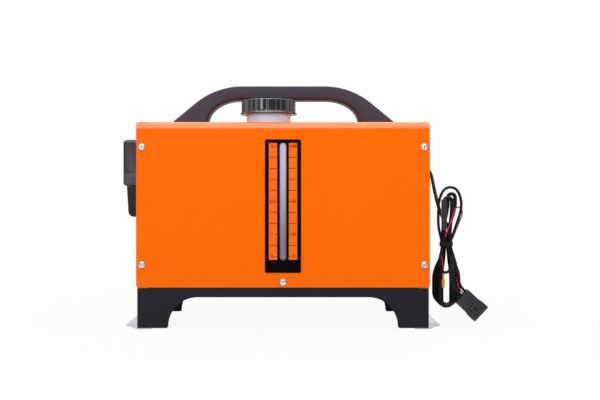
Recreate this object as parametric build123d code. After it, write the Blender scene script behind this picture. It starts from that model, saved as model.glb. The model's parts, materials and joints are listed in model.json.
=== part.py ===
from build123d import *
from math import cos, pi, radians, sin, sqrt, tan
import os

# Portable all-in-one air heater: a folded steel cabinet on a black plinth, a
# moulded tank behind a sight slot, a burner and blower lying below it, a
# handle and filler cap on top, a display on the left end and a tied hank of
# power cable on the right end.
# Millimetres. Origin: bottom centre on the floor. +X to the right of someone
# who faces the level gauge, +Y away from them, +Z up.

# ---------------------------------------------------------------- cabinet
CABINET_LENGTH = 390.0
CABINET_DEPTH = 150.0
CABINET_HEIGHT = 220.0
SHEET = 1.0
BEND_RADIUS = 9.0
END_SHEET = 1.2
END_INSET = 1.0
END_FLANGE = 14.0
END_CORNER = 4.0
FOLD_GAP = 0.3

# ---------------------------------------------------------------- plinth
FOOT_SHEET = 1.5
FOOT_REACH = 19.5
FOOT_HOLE_OUT = 9.0
FOOT_HOLE_RADIUS = 3.5
FOOT_HOLE_SPACING = 88.0
FOOT_TAPER = 8.0
FOOT_INSET = 19.0
PLINTH_HEIGHT = 53.0
PLINTH_SHEET = 1.5
PLINTH_INSET = 1.0
PLINTH_LIP = 14.5
LIP_GAP = 0.2
LIP_END_GAP = 2.0
SHADOW_GAP = 1.0
LEG_WIDTH = 41.5
ARCH_HEIGHT = 40.9
ARCH_RADIUS = 38.7
LEG_CORNER = 2.5
LEG_TOE = 3.0
LEG_FLANGE = 19.0
RIVET_IN = 10.5
RIVET_RADIUS = 2.0
RIVET_HEAD = 1.2
RIVET_SUNK = 0.2

# ---------------------------------------------------------------- screws
SCREW_RADIUS = 2.0
SCREW_HEAD_RADIUS = 4.5
SCREW_HEAD_HEIGHT = 2.6
SCREW_HEAD_EDGE = 1.0
SCREW_LENGTH = 4.5
HOLE_GAP = 0.1
SIDE_SCREW_IN = 7.5
SIDE_SCREW_LOW = 30.0
SIDE_SCREW_HIGH = 186.4
TOP_SCREW_IN = 16.0
BOTTOM_SCREW_UP = 7.0

# ---------------------------------------------------------------- level gauge
GAUGE_WIDTH = 47.8
GAUGE_HEIGHT = 177.0
GAUGE_THICKNESS = 0.6
GAUGE_BOTTOM = 75.0
GAUGE_CORNER = 2.0
SLOT_WIDTH = 10.2
SLOT_BOTTOM = 91.0
SLOT_TOP = 248.3
SIGHT_GAP = 0.5
SIGHT_SUNK = 0.7
SIGHT_ROUND = 1.6

# ---------------------------------------------------------------- tank and cap
TANK_LEFT_ROOM = 32.8
TANK_RIGHT_ROOM = 52.8
TANK_WALL = 2.5
TANK_FRONT_GAP = 2.5
TANK_REAR_GAP = 4.0
TANK_TOP_GAP = 12.5
TANK_LEG_DEPTH = 24.5
TANK_LEG_BOTTOM = 86.0
TANK_ROUND = 5.0
NECK_X = -20.1
NECK_BEHIND = 41.5
NECK_RADIUS = 30.35
NECK_WALL = 3.35
NECK_SHOWN = 12.0
NECK_HOLE_GAP = 0.8
CAP_RADIUS = 36.2
CAP_RIB = 0.7
CAP_RIB_COUNT = 20
CAP_RIB_WIDTH = 6.0
CAP_RIB_ROOT = 0.5
CAP_RIM_RADIUS = 38.8
CAP_RIM_HEIGHT = 3.0
CAP_HEIGHT = 19.9
CAP_TOP = 3.0
CAP_CHAMFER = 2.2
CAP_NECK_GAP = 0.6
SEAL_THICKNESS = 1.8
FITTING_RADIUS = 4.0
FITTING_BORE = 1.6
FITTING_LENGTH = 9.0
FITTING_UP = 11.5
FITTING_COLLAR = 3.0

# ---------------------------------------------------------------- handle
HANDLE_CAP_GAP = 2.2
HANDLE_DEPTH = 34.0
HANDLE_RISE = 56.6
HANDLE_GRIP = 19.9
HANDLE_FLAT = 58.5
HANDLE_SHOULDER_RADIUS = 105.0
HANDLE_SLOPE = 39.5
HANDLE_INNER_HALF = 108.0
HANDLE_INNER_WIDE = 47.0
HANDLE_INNER_TALL = 33.0
HANDLE_BEVEL = 3.6
HANDLE_EDGE = 2.0
HANDLE_SCREW_OUT = 22.0
HANDLE_SCREW_APART = 18.0
HANDLE_SCREW_LENGTH = 14.0

# ---------------------------------------------------------------- burner unit
UNIT_Z = 105.0
UNIT_LEG_GAP = 4.0
UNIT_REAR_GAP = 7.0
UNIT_HEIGHT = 94.0
UNIT_CORNER = 30.0
UNIT_WALL = 2.5
UNIT_RIGHT_GAP = 28.0
HOOD_LENGTH = 36.0
EXCHANGER_INSET = 12.0
EXCHANGER_RADIUS = 30.0
EXCHANGER_WALL = 4.0
FIN_COUNT = 20
FIN_HEIGHT = 11.0
FIN_THICKNESS = 2.0
FIN_END_GAP = 29.0
EXHAUST_BOSS = 3.0
EXHAUST_BOSS_PROUD = 0.5
EXCHANGER_FLANGE = 41.0
EXCHANGER_FLANGE_THICKNESS = 5.0
BURNER_RADIUS = 22.0
BURNER_WALL = 1.5
BURNER_LENGTH = 62.0
BURNER_HOLES = 8
BURNER_HOLE_RADIUS = 2.5
GLOW_RADIUS = 3.0
GLOW_REACH = 16.0
GLOW_HEX = 5.5
GLOW_HEX_HEIGHT = 6.0
GLOW_TERMINAL = 5.0
BLOWER_LENGTH = 44.0
BLOWER_RADIUS = 41.0
BLOWER_WALL = 4.0
CHAMBER_GAP = 2.0
MOTOR_RADIUS = 21.0
MOTOR_LENGTH = 36.0
MOTOR_RIB = 6.0
MOTOR_RIB_LENGTH = 8.0
SHAFT_RADIUS = 2.5
SHAFT_GAP = 0.1
FAN_RADIUS = 43.0
FAN_HUB_RADIUS = 14.0
FAN_WIDTH = 12.0
FAN_BLADES = 7
FAN_BLADE_THICKNESS = 1.6
FAN_PITCH = 38.0
FAN_MOTOR_GAP = 2.0
FAN_INSET = 8.0
IMPELLER_RADIUS = 30.0
IMPELLER_WIDTH = 12.0
IMPELLER_BLADES = 10
IMPELLER_HUB = 8.0
IMPELLER_SHEET = 2.0
PIPE_WALL = 1.5
PIPE_BOTTOM = 36.0
PIPE_SPIGOT = 15.0
PIPE_SHOULDER = 0.5
EXHAUST_INSET = 54.0
EXHAUST_RADIUS = 12.0
AIR_PIPE_RADIUS = 12.5
PIPE_HOLE_GAP = 1.0
GASKET_LEFT_EDGE = 22.0
GASKET_RIGHT_EDGE = 30.0
BOLT_RADIUS = 3.0
BOLT_HEX = 5.0
BOLT_HEAD = 4.0
NUT_HEIGHT = 3.0
BOLT_BACK = (62.0, 10.0)
BOLT_EDGE = 6.0
SHIELD_SHEET = 1.2
SHIELD_GAP = 1.4
SHIELD_LEFT_INSET = 8.0
SHIELD_RIGHT_INSET = 42.0
SHIELD_FLANGE = 2.0
SHIELD_BEND = 6.0
SHIELD_LEG_GAP = 0.5

# ---------------------------------------------------------------- air path
OUTLET_RADIUS = 35.5
OUTLET_RING_WALL = 2.4
OUTLET_FLANGE_RADIUS = 40.5
OUTLET_FLANGE = 3.0
OUTLET_TUBE = 20.0
LOUVRE_GAP = 0.1
LOUVRE_WALL = 1.6
LOUVRE_FLANGE_RADIUS = 37.6
LOUVRE_FLANGE = 1.2
LOUVRE_DEPTH = 13.0
LOUVRE_BLADES = 5
LOUVRE_TILT = 30.0
LOUVRE_BLADE = 1.5
LOUVRE_CHORD = 9.0
LOUVRE_SUNK = 1.5
GRILLE_RADIUS = 44.0
GRILLE_OPEN_RADIUS = 38.0
GRILLE_THICKNESS = 2.5
GRILLE_BARS = 7
GRILLE_BAR = 2.4
GRILLE_SPIGOT = 4.0
GRILLE_WALL = 2.0
GRILLE_BAR_SUNK = 0.5

# ---------------------------------------------------------------- fuel line
PUMP_ASIDE = 23.0
PUMP_BEHIND = 24.0
PUMP_RADIUS = 12.5
PUMP_LENGTH = 56.0
PUMP_BOTTOM = 82.0
PUMP_NIPPLE = 9.0
PUMP_EDGE = 1.5
SOCKET_WIDTH = 10.0
SOCKET_PROUD = 7.0
SOCKET_HEIGHT = 14.0
SOCKET_DOWN = 6.0
FILTER_BEHIND = 12.5
FILTER_RADIUS = 9.0
FILTER_LENGTH = 36.0
FILTER_BOTTOM = 116.0
FILTER_NIPPLE = 4.0
FILTER_CONE = 4.0
HOSE_RADIUS = 3.0
HOSE_BEND = 9.0
LINE_UNDER = 7.5
LINE_INSET = 7.0
LINE_ASIDE = 8.0
FEED_DEPTH = 24.5
MOUNT_RUBBER = 4.0
MOUNT_HEIGHT = 20.0
MOUNT_UP = 6.0
MOUNT_WIDTH = 18.0
MOUNT_POST = 6.0
MOUNT_FOOT = 19.0
MOUNT_FOOT_THICKNESS = 3.0

# ---------------------------------------------------------------- electronics
BOARD_WIDTH = 66.0
BOARD_HEIGHT = 88.0
BOARD_THICKNESS = 1.6
BOARD_BEHIND = 43.0
BOARD_Z = 206.0
BOARD_OFF = 6.0
STUD_RADIUS = 2.5
STUD_INSET = 6.0
RELAY_SIDE = 14.0
RELAY_HEIGHT = 18.0
RELAY_DEPTH = 12.0
CAN_RADIUS = 4.0
CAN_DEPTH = 9.0
TERMINAL_WIDTH = 48.0
TERMINAL_HEIGHT = 10.0
TERMINAL_DEPTH = 8.0
SEAT_IN = 0.1

# ---------------------------------------------------------------- display
DISPLAY_WIDTH = 104.0
DISPLAY_BOTTOM = 189.5
DISPLAY_TOP = 253.0
DISPLAY_PROUD = 22.9
DISPLAY_WALL = 2.2
DISPLAY_CORNER = 5.0
DISPLAY_EDGE = 2.6
DISPLAY_LOW_EDGE = 4.8
DISPLAY_FIT = 0.2
CRADLE_PLATE = 3.0
CRADLE_RIM = 1.7
CHIN_BOTTOM = 148.0
CHIN_PROUD_TOP = 18.3
CHIN_PROUD_LOW = 16.0
CHIN_TOE = 8.0
CHIN_CORNER = 6.0
CHIN_WALL = 2.5
SIDE_PANEL_DEPTH = 0.8
SIDE_PANEL_LOW = 208.2
SIDE_PANEL_HIGH = 248.2
SIDE_PANEL_FRONT = 3.0
SIDE_PANEL_REAR = 2.0
SCREEN_WIDTH = 66.0
SCREEN_HEIGHT = 32.0
SCREEN_Z = 230.0
SCREEN_LEDGE = 1.2
SCREEN_THICKNESS = 1.2
SCREEN_GAP = 0.15
BUTTON_Z = 201.0
BUTTON_SPACING = 20.0
BUTTON_RADIUS = 4.6
BUTTON_GAP = 0.15
BUTTON_PROUD = 0.9
BUTTON_TRAVEL = 0.8
BUTTON_FLANGE = 1.0
BUTTON_FLANGE_WIDER = 1.2
BUTTON_EDGE = 0.5
SWITCH_RADIUS = 2.0
SWITCH_HEIGHT = 1.7
POST_INSET = 9.0

# ---------------------------------------------------------------- cables
CABLE_DIAMETER = 5.0
LEAD_DIAMETER = 3.8
WIRE_DIAMETER = 1.8
GLAND_FROM_REAR = 30.0
GLAND_Z = 216.0
GLAND_RADIUS = 8.0
GLAND_NOSE_RADIUS = 4.6
GLAND_PROUD = 7.0
GLAND_LIP = 2.0
HANK_LOOPS = 4
HANK_REAR_Y = -4.0
HANK_STEP = 6.0
HANK_LEAN = -1.1
WAIST_X = 229.4
WAIST_Z = 110.0
WAIST_HALF = 5.0
WAIST_STRAIGHT = 6.0
HANK_TOP_X = 236.2
HANK_TOP_Z = 178.9
HANK_TOP_HALF = (6.6, 8.0, 7.0, 7.6)
HANK_LOW_X = 229.6
HANK_LOW_Z = 23.4
HANK_LOW_HALF = (17.6, 7.6, 14.6, 8.6)
HANK_SPREAD = 46.0
HANK_LAST_SPREAD = 34.0
HANK_END_LENGTH = 5.0
TIE_WIDTH = 5.0
TIE_THICKNESS = 1.2
TIE_GAP = 0.3
TIE_SIDE_GAP = 0.6
PLUG_LENGTH = 36.0
PLUG_WIDTH = 27.2
PLUG_THICKNESS = 15.0
PLUG_ANGLE = -43.3
PLUG_END = (246.0, -28.0, 38.4)
PLUG_FLANGE_AT = 23.5
PLUG_FLANGE = 1.2
PLUG_MOUTH = 8.0
PLUG_WALL = 1.5
LATCH_LENGTH = 12.0
LATCH_WIDTH = 11.0
LATCH_PROUD = 1.2
LATCH_SLOT = (6.0, 4.0)
LEAD_IN = 10.0
PLUG_CORNER = 1.5
LEAD_OFFSET = 8.0
WIRE_OFFSET = 4.6
WIRE_GAP = 0.5
LEAD_GAP = 0.6
TUCK_X = 220.7
TUCK_BOTTOM = 130.0
TUCK_TOP = 171.5
TUCK_WIDTH = 7.0
TUCK_DEPTH = 6.0
TUCK_FORWARD = 1.0
WIRE_CAP_X = 220.4
CAP_END_RADIUS = 2.4
CAP_END_NECK_RADIUS = 1.3
CAP_END_LENGTH = 21.0
CAP_END_NECK = 9.0
CAP_END_TOP = 71.0

# ---------------------------------------------------------------- derived
HALF_LENGTH = CABINET_LENGTH / 2
FRONT = -CABINET_DEPTH / 2
REAR = CABINET_DEPTH / 2
DECK_TOP = FOOT_SHEET + PLINTH_HEIGHT
DECK_BOTTOM = DECK_TOP - PLINTH_SHEET
COVER_BOTTOM = DECK_TOP + SHADOW_GAP
COVER_TOP = COVER_BOTTOM + CABINET_HEIGHT
PLINTH_HALF = HALF_LENGTH - PLINTH_INSET
PLINTH_Y = REAR - PLINTH_INSET
INNER_Y = REAR - SHEET
END_OUT = HALF_LENGTH - END_INSET
END_IN = END_OUT - END_SHEET
SIDE_SCREW_X = HALF_LENGTH - SIDE_SCREW_IN
TANK_FRONT = -INNER_Y + TANK_FRONT_GAP
TANK_REAR = INNER_Y - TANK_REAR_GAP
TANK_TOP = COVER_TOP - SHEET - TANK_TOP_GAP
TANK_LEFT = -END_IN + TANK_LEFT_ROOM
TANK_RIGHT = END_IN - TANK_RIGHT_ROOM
NECK_Y = TANK_FRONT + NECK_BEHIND
HANDLE_Y = NECK_Y + CAP_RIM_RADIUS + HANDLE_CAP_GAP + HANDLE_DEPTH / 2
HANDLE_SCREW_X = HANDLE_INNER_HALF + HANDLE_SCREW_OUT
UNIT_FRONT = TANK_FRONT + TANK_LEG_DEPTH + UNIT_LEG_GAP
UNIT_REAR = INNER_Y - UNIT_REAR_GAP
UNIT_Y = (UNIT_FRONT + UNIT_REAR) / 2
UNIT_WIDTH = UNIT_REAR - UNIT_FRONT
UNIT_FLAT = UNIT_WIDTH / 2 - UNIT_CORNER
UNIT_LEFT = -END_OUT + HOOD_LENGTH
UNIT_RIGHT = TANK_RIGHT - UNIT_RIGHT_GAP
UNIT_TOP = UNIT_Z + UNIT_HEIGHT / 2
UNIT_BOTTOM = UNIT_Z - UNIT_HEIGHT / 2
SHIELD_TOP = UNIT_TOP + SHIELD_GAP + SHIELD_SHEET
TANK_FLOOR = SHIELD_TOP
FITTING_Z = TANK_LEG_BOTTOM + FITTING_UP
CAP_BOTTOM = COVER_TOP + NECK_SHOWN
CAP_TOP_Z = CAP_BOTTOM + CAP_HEIGHT
NECK_TOP = CAP_TOP_Z - CAP_TOP - SEAL_THICKNESS
HANDLE_TOP = COVER_TOP + HANDLE_RISE
HANDLE_UNDER = HANDLE_TOP - HANDLE_GRIP
FAN_LEFT = UNIT_RIGHT - FAN_INSET - FAN_WIDTH
MOTOR_RIGHT = FAN_LEFT - FAN_MOTOR_GAP
BLOWER_RIGHT = MOTOR_RIGHT - MOTOR_LENGTH
BLOWER_LEFT = BLOWER_RIGHT - BLOWER_LENGTH
BLOWER_MID = (BLOWER_LEFT + BLOWER_RIGHT) / 2
EXCHANGER_LEFT = UNIT_LEFT + EXCHANGER_INSET
EXCHANGER_RIGHT = BLOWER_LEFT
EXHAUST_X = EXCHANGER_LEFT + EXHAUST_INSET
SHIELD_LEFT = UNIT_LEFT + SHIELD_LEFT_INSET
SHIELD_RIGHT = UNIT_RIGHT - SHIELD_RIGHT_INSET
EXHAUST_SEAT = UNIT_Z - EXCHANGER_RADIUS - FIN_HEIGHT - EXHAUST_BOSS_PROUD
GLOW_X = EXCHANGER_RIGHT - EXCHANGER_FLANGE_THICKNESS - GLOW_HEX - 2
LINE_END = (BLOWER_RIGHT - LINE_INSET, UNIT_Y - AIR_PIPE_RADIUS - LINE_ASIDE)
IMPELLER_LEFT = BLOWER_MID - IMPELLER_WIDTH / 2
DISPLAY_FACE = -END_OUT - DISPLAY_PROUD
DISPLAY_BACK = -END_OUT - CRADLE_PLATE
BUTTONS = ("power_button", "down_button", "up_button", "set_button")
FILTER_Y = TANK_FRONT + FILTER_BEHIND
PUMP_X = TANK_RIGHT + PUMP_ASIDE
PUMP_Y = FILTER_Y + PUMP_BEHIND
PUMP_TOP = PUMP_BOTTOM + PUMP_LENGTH
FILTER_TOP = FILTER_BOTTOM + FILTER_LENGTH
LINE_Z = DECK_BOTTOM - LINE_UNDER
PLUG_ALONG = (cos(radians(PLUG_ANGLE)), 0.0, sin(radians(PLUG_ANGLE)))
PLUG_ACROSS = (-PLUG_ALONG[2], 0.0, PLUG_ALONG[0])
BOARD_Y = FILTER_Y + BOARD_BEHIND
GLAND_Y = REAR - GLAND_FROM_REAR
GLAND_FACE = END_OUT + GLAND_PROUD
HANK_FRONT_Y = HANK_REAR_Y - HANK_LOOPS * HANK_STEP
WIRE_Y = HANK_FRONT_Y - (CABLE_DIAMETER + WIRE_DIAMETER) / 2 - WIRE_GAP
LEAD_Y = WIRE_Y - (WIRE_DIAMETER + LEAD_DIAMETER) / 2 - LEAD_GAP
TUCK_Y = LEAD_Y - TUCK_FORWARD


# ---------------------------------------------------------------- helpers
def block(x0, x1, y0, y1, z0, z1):
    """Box between two corners."""
    return Pos((x0 + x1) / 2, (y0 + y1) / 2, (z0 + z1) / 2) * Box(x1 - x0, y1 - y0, z1 - z0)


def rod_x(x0, x1, y, z, radius):
    """Round bar along X."""
    return Pos((x0 + x1) / 2, y, z) * Rot(0, 90, 0) * Cylinder(radius, x1 - x0)


def rod_y(x, y0, y1, z, radius):
    """Round bar along Y."""
    return Pos(x, (y0 + y1) / 2, z) * Rot(90, 0, 0) * Cylinder(radius, y1 - y0)


def rod_z(x, y, z0, z1, radius):
    """Round bar along Z."""
    return Pos(x, y, (z0 + z1) / 2) * Cylinder(radius, z1 - z0)


def pipe_z(x, y, z0, z1, radius, wall):
    """Round pipe along Z."""
    return rod_z(x, y, z0, z1, radius) - rod_z(x, y, z0 - 1, z1 + 1, radius - wall)


def slab_yz(sketch, x0, x1):
    """A sketch drawn in (y, z), given thickness from x0 to x1."""
    return Pos(x0, 0, 0) * extrude(Plane.YZ * sketch, x1 - x0)


def slab_xz(sketch, y0, y1):
    """A sketch drawn in (x, z), given thickness from y0 to y1."""
    return Pos(0, y1, 0) * extrude(Plane.XZ * sketch, y1 - y0)


def corner_radii(points, share=0.45):
    """Radius of the arc at each inner point of a route: a share of its shorter run."""
    radii = []
    for before, here, after in zip(points, points[1:], points[2:]):
        run_in = Vector(*here) - Vector(*before)
        run_out = Vector(*after) - Vector(*here)
        half_turn = radians(run_in.get_angle(run_out)) / 2
        radii.append(share * min(run_in.length, run_out.length) / tan(half_turn))
    return radii


def tube_along(name, points, diameter):
    """Round tube on straight runs joined by tangent arcs; prints its tightest arc."""
    radii = corner_radii(points)
    path = FilletPolyline(*points, radius=radii)
    section = Plane(origin=path @ 0, z_dir=path % 0) * Circle(diameter / 2)
    tube = sweep(section, path=path)
    ideal = pi * diameter ** 2 / 4 * path.length
    print(f"{name}: length {path.length:.0f}, radii {min(radii):.1f}-{max(radii):.1f},"
          f" volume ratio {tube.volume / ideal:.4f}")
    return tube


# ---------------------------------------------------------------- plinth
def plinth_walls():
    """Folded box, open below, with an arch through its front and rear walls and a
    flange turned in below each end wall."""
    outer = block(-PLINTH_HALF, PLINTH_HALF, -PLINTH_Y, PLINTH_Y, FOOT_SHEET, DECK_TOP)
    outer = fillet(outer.edges().filter_by(Axis.Z), LEG_CORNER)
    inner = block(-PLINTH_HALF + PLINTH_SHEET, PLINTH_HALF - PLINTH_SHEET,
                  -PLINTH_Y + PLINTH_SHEET, PLINTH_Y - PLINTH_SHEET,
                  FOOT_SHEET + PLINTH_SHEET, DECK_BOTTOM)
    arch_half = PLINTH_HALF - LEG_WIDTH
    arch = block(-arch_half, arch_half, -CABINET_DEPTH, CABINET_DEPTH,
                 -ARCH_RADIUS, FOOT_SHEET + ARCH_HEIGHT)
    arch = fillet(arch.edges().filter_by(Axis.Y).group_by(Axis.Z)[-1], ARCH_RADIUS)
    open_half = PLINTH_HALF - LEG_FLANGE
    open_floor = block(-open_half, open_half, -PLINTH_Y + PLINTH_SHEET,
                       PLINTH_Y - PLINTH_SHEET, 0, DECK_BOTTOM - 1)
    walls = outer - inner - arch - open_floor
    toes = [edge for edge in walls.edges().filter_by(Axis.Y)
            if abs(abs((edge @ 0.5).X) - arch_half) < 0.1 and (edge @ 0.5).Z < ARCH_RADIUS / 4]
    return fillet(toes, LEG_TOE)


def base_frame():
    """Plinth with two upright lips that the cover's lower edges are screwed to."""
    lip_half = END_OUT - END_FLANGE - LIP_END_GAP
    lip_y = INNER_Y - LIP_GAP - PLINTH_SHEET / 2
    lips = [block(-lip_half, lip_half, side * lip_y - PLINTH_SHEET / 2,
                  side * lip_y + PLINTH_SHEET / 2, DECK_BOTTOM, DECK_TOP + PLINTH_LIP)
            for side in (-1, 1)]
    frame = plinth_walls() + lips
    screw_z = COVER_BOTTOM + BOTTOM_SCREW_UP
    holes = [rod_y(0, -REAR, REAR, screw_z, SCREW_RADIUS + HOLE_GAP)]
    holes.append(rod_z(EXHAUST_X, UNIT_Y, 0, UNIT_BOTTOM, EXHAUST_RADIUS + PIPE_HOLE_GAP))
    holes.append(rod_z(BLOWER_MID, UNIT_Y, 0, UNIT_BOTTOM, AIR_PIPE_RADIUS + PIPE_HOLE_GAP))
    holes += [rod_z(x, y, 0, UNIT_BOTTOM, BOLT_RADIUS + HOLE_GAP) for x, y in bolt_places()]
    holes += [rod_z(x, y, 0, UNIT_BOTTOM, HOSE_RADIUS + PIPE_HOLE_GAP)
              for x, y in ((PUMP_X, PUMP_Y), LINE_END)]
    holes += [rod_z(x, y, 0, DECK_BOTTOM - 1, RIVET_RADIUS + HOLE_GAP)
              for x, y in rivet_places()]
    return frame - holes


def rivet_places():
    rivet_x = PLINTH_HALF - RIVET_IN
    return [(sx * rivet_x, sy * FOOT_HOLE_SPACING / 2) for sx in (-1, 1) for sy in (-1, 1)]


def foot_plate(side):
    """Bright plate under one end's flange, with a tapered tongue and two fixing holes."""
    inner_x = PLINTH_HALF - LEG_FLANGE
    outer_x = PLINTH_HALF + FOOT_REACH
    half_y = PLINTH_Y
    tongue_y = half_y - FOOT_INSET
    outline = Polyline((inner_x, -half_y), (PLINTH_HALF, -half_y),
                       (outer_x - FOOT_TAPER, -tongue_y), (outer_x, -tongue_y + FOOT_TAPER),
                       (outer_x, tongue_y - FOOT_TAPER), (outer_x - FOOT_TAPER, tongue_y),
                       (PLINTH_HALF, half_y), (inner_x, half_y), close=True)
    plate = extrude(make_face(outline), FOOT_SHEET)
    hole_x = PLINTH_HALF + FOOT_HOLE_OUT
    for y in (-FOOT_HOLE_SPACING / 2, FOOT_HOLE_SPACING / 2):
        plate -= rod_z(hole_x, y, -1, FOOT_SHEET + 1, FOOT_HOLE_RADIUS)
        plate -= rod_z(PLINTH_HALF - RIVET_IN, y, -1, FOOT_SHEET + 1, RIVET_RADIUS + HOLE_GAP)
    return plate if side > 0 else mirror(plate, Plane.YZ)


def foot_rivets():
    """Rivets flush below the foot plates, with a button head inside each leg."""
    top = FOOT_SHEET + PLINTH_SHEET
    return [rod_z(x, y, RIVET_SUNK, top, RIVET_RADIUS)
            + rod_z(x, y, top, top + RIVET_HEAD, 2 * RIVET_RADIUS) for x, y in rivet_places()]


# ---------------------------------------------------------------- cabinet sheets
def fold_profile(half_y, bottom, top, radius):
    """Tall face in (y, z) with rounded top corners."""
    face = Pos(0, (bottom + top) / 2) * Rectangle(2 * half_y, top - bottom)
    return fillet(face.vertices().group_by(Axis.Y)[-1], radius)


def sight_slot(inset):
    """Upright slot of the level gauge in (x, z), drawn in by an inset all round."""
    height = SLOT_TOP - SLOT_BOTTOM - 2 * inset
    return Pos(0, (SLOT_BOTTOM + SLOT_TOP) / 2) * Rot(0, 0, 90) * SlotOverall(
        height, SLOT_WIDTH - 2 * inset)


def cover():
    """One sheet folded over front, top and rear, with its lower corners rounded."""
    outer = fold_profile(REAR, COVER_BOTTOM, COVER_TOP, BEND_RADIUS)
    inner = fold_profile(INNER_Y, COVER_BOTTOM - 1, COVER_TOP - SHEET, BEND_RADIUS - SHEET)
    sheet = slab_yz(outer - inner, -HALF_LENGTH, HALF_LENGTH)
    low_corners = sheet.edges().filter_by(Axis.Y).group_by(Axis.Z)[0]
    sheet = fillet(low_corners, END_CORNER)
    cuts = [slab_xz(sight_slot(0), FRONT - 1, -INNER_Y + 1)]
    cuts.append(rod_z(NECK_X, NECK_Y, COVER_TOP - 5, COVER_TOP + 1,
                      NECK_RADIUS + NECK_HOLE_GAP))
    cuts += [rod_y(x, -REAR - 1, REAR + 1, z, SCREW_RADIUS + HOLE_GAP)
             for x, z in face_screw_places()]
    cuts += [rod_z(x, y, COVER_TOP - 5, COVER_TOP + 1, SCREW_RADIUS + HOLE_GAP)
             for x, y in top_screw_places() + handle_screw_places()]
    return sheet - cuts


def end_panel(side):
    """Pressed tray that closes one end, with a flange behind the cover all round."""
    half_y = INNER_Y - FOLD_GAP
    top = COVER_TOP - SHEET - FOLD_GAP
    outer = fold_profile(half_y, DECK_TOP, top, BEND_RADIUS - SHEET - FOLD_GAP)
    inner = fold_profile(half_y - END_SHEET, DECK_TOP + END_SHEET, top - END_SHEET,
                         BEND_RADIUS - SHEET - FOLD_GAP - END_SHEET)
    tray = slab_yz(outer, END_OUT - END_FLANGE, END_OUT)
    tray -= slab_yz(inner, END_OUT - END_FLANGE - 1, END_IN)
    holes = [rod_y(x, -REAR, REAR, z, SCREW_RADIUS + HOLE_GAP)
             for x, z in face_screw_places() if x > 0]
    holes += [rod_z(x, y, top - 5, top + 1, SCREW_RADIUS + HOLE_GAP)
              for x, y in top_screw_places() if x > 0]
    tray -= holes
    return tray if side > 0 else mirror(tray, Plane.YZ)


def left_end_panel():
    radius = OUTLET_RADIUS + LOUVRE_GAP + OUTLET_RING_WALL + HOLE_GAP
    return end_panel(-1) - rod_x(-END_OUT - 1, -END_IN + 1, UNIT_Y, UNIT_Z, radius)


def right_end_panel():
    panel = end_panel(1)
    panel -= rod_x(END_IN - 1, END_OUT + 1, UNIT_Y, UNIT_Z, GRILLE_OPEN_RADIUS + HOLE_GAP)
    panel -= rod_x(END_IN - 1, END_OUT + 1, GLAND_Y, GLAND_Z, GLAND_RADIUS - GLAND_LIP)
    studs = [rod_x(END_IN - BOARD_OFF, END_IN, y, z, STUD_RADIUS) for y, z in board_places()]
    return panel + studs


def face_screw_places():
    low = COVER_BOTTOM + SIDE_SCREW_LOW
    high = COVER_BOTTOM + SIDE_SCREW_HIGH
    places = [(side * SIDE_SCREW_X, z) for side in (-1, 1) for z in (low, high)]
    return places + [(0.0, COVER_BOTTOM + BOTTOM_SCREW_UP)]


def top_screw_places():
    return [(sx * SIDE_SCREW_X, sy * (REAR - TOP_SCREW_IN)) for sx in (-1, 1) for sy in (-1, 1)]


def handle_screw_places():
    return [(sx * HANDLE_SCREW_X, HANDLE_Y + sy * HANDLE_SCREW_APART / 2)
            for sx in (-1, 1) for sy in (-1, 1)]


def pan_screw(length):
    """Pan-head screw on Z: its head stands on the plane z = 0 and its shank hangs below."""
    head = Pos(0, 0, SCREW_HEAD_HEIGHT / 2) * Cylinder(SCREW_HEAD_RADIUS, SCREW_HEAD_HEIGHT)
    head = chamfer(head.edges().group_by(Axis.Z)[-1], SCREW_HEAD_EDGE)
    shank = Pos(0, 0, -length / 2) * Cylinder(SCREW_RADIUS, length)
    return head + shank


def cover_screws():
    screw = pan_screw(SCREW_LENGTH)
    screws = []
    for x, z in face_screw_places():
        screws.append(Pos(x, FRONT, z) * Rot(90, 0, 0) * screw)
        screws.append(Pos(x, REAR, z) * Rot(-90, 0, 0) * screw)
    screws += [Pos(x, y, COVER_TOP) * screw for x, y in top_screw_places()]
    return screws


def gauge_label():
    mid_z = GAUGE_BOTTOM + GAUGE_HEIGHT / 2
    plate = Pos(0, mid_z) * RectangleRounded(GAUGE_WIDTH, GAUGE_HEIGHT, GAUGE_CORNER)
    return slab_xz(plate - sight_slot(0), FRONT - GAUGE_THICKNESS, FRONT)


# ---------------------------------------------------------------- handle
def handle_outline():
    """Grip, round shoulders, sloping arms and feet, drawn in (x, z)."""
    slope = radians(HANDLE_SLOPE)
    shoulder = Vector(HANDLE_FLAT + HANDLE_SHOULDER_RADIUS * sin(slope),
                      HANDLE_TOP - HANDLE_SHOULDER_RADIUS * (1 - cos(slope)))
    toe = Vector(shoulder.X + (shoulder.Y - COVER_TOP) / tan(slope), COVER_TOP)
    bend = Vector(HANDLE_FLAT + HANDLE_SHOULDER_RADIUS * sin(slope / 2),
                  HANDLE_TOP - HANDLE_SHOULDER_RADIUS * (1 - cos(slope / 2)))
    inner_start = HANDLE_INNER_HALF - HANDLE_INNER_WIDE
    inner_low = HANDLE_UNDER - HANDLE_INNER_TALL
    under_bend = EllipticalCenterArc((inner_start, inner_low), HANDLE_INNER_WIDE,
                                     HANDLE_INNER_TALL, arc_size=90)
    right = [Line((0, HANDLE_TOP), (HANDLE_FLAT, HANDLE_TOP)),
             ThreePointArc((HANDLE_FLAT, HANDLE_TOP), bend, shoulder),
             Line(shoulder, toe),
             Line(toe, (HANDLE_INNER_HALF, COVER_TOP)),
             Line((HANDLE_INNER_HALF, COVER_TOP), (HANDLE_INNER_HALF, inner_low)),
             under_bend,
             Line((inner_start, HANDLE_UNDER), (0, HANDLE_UNDER)),
             Line((0, HANDLE_UNDER), (0, HANDLE_TOP))]
    half = make_face(Wire(Curve(right).edges()))
    return half + mirror(half, Plane.YZ)


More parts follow.
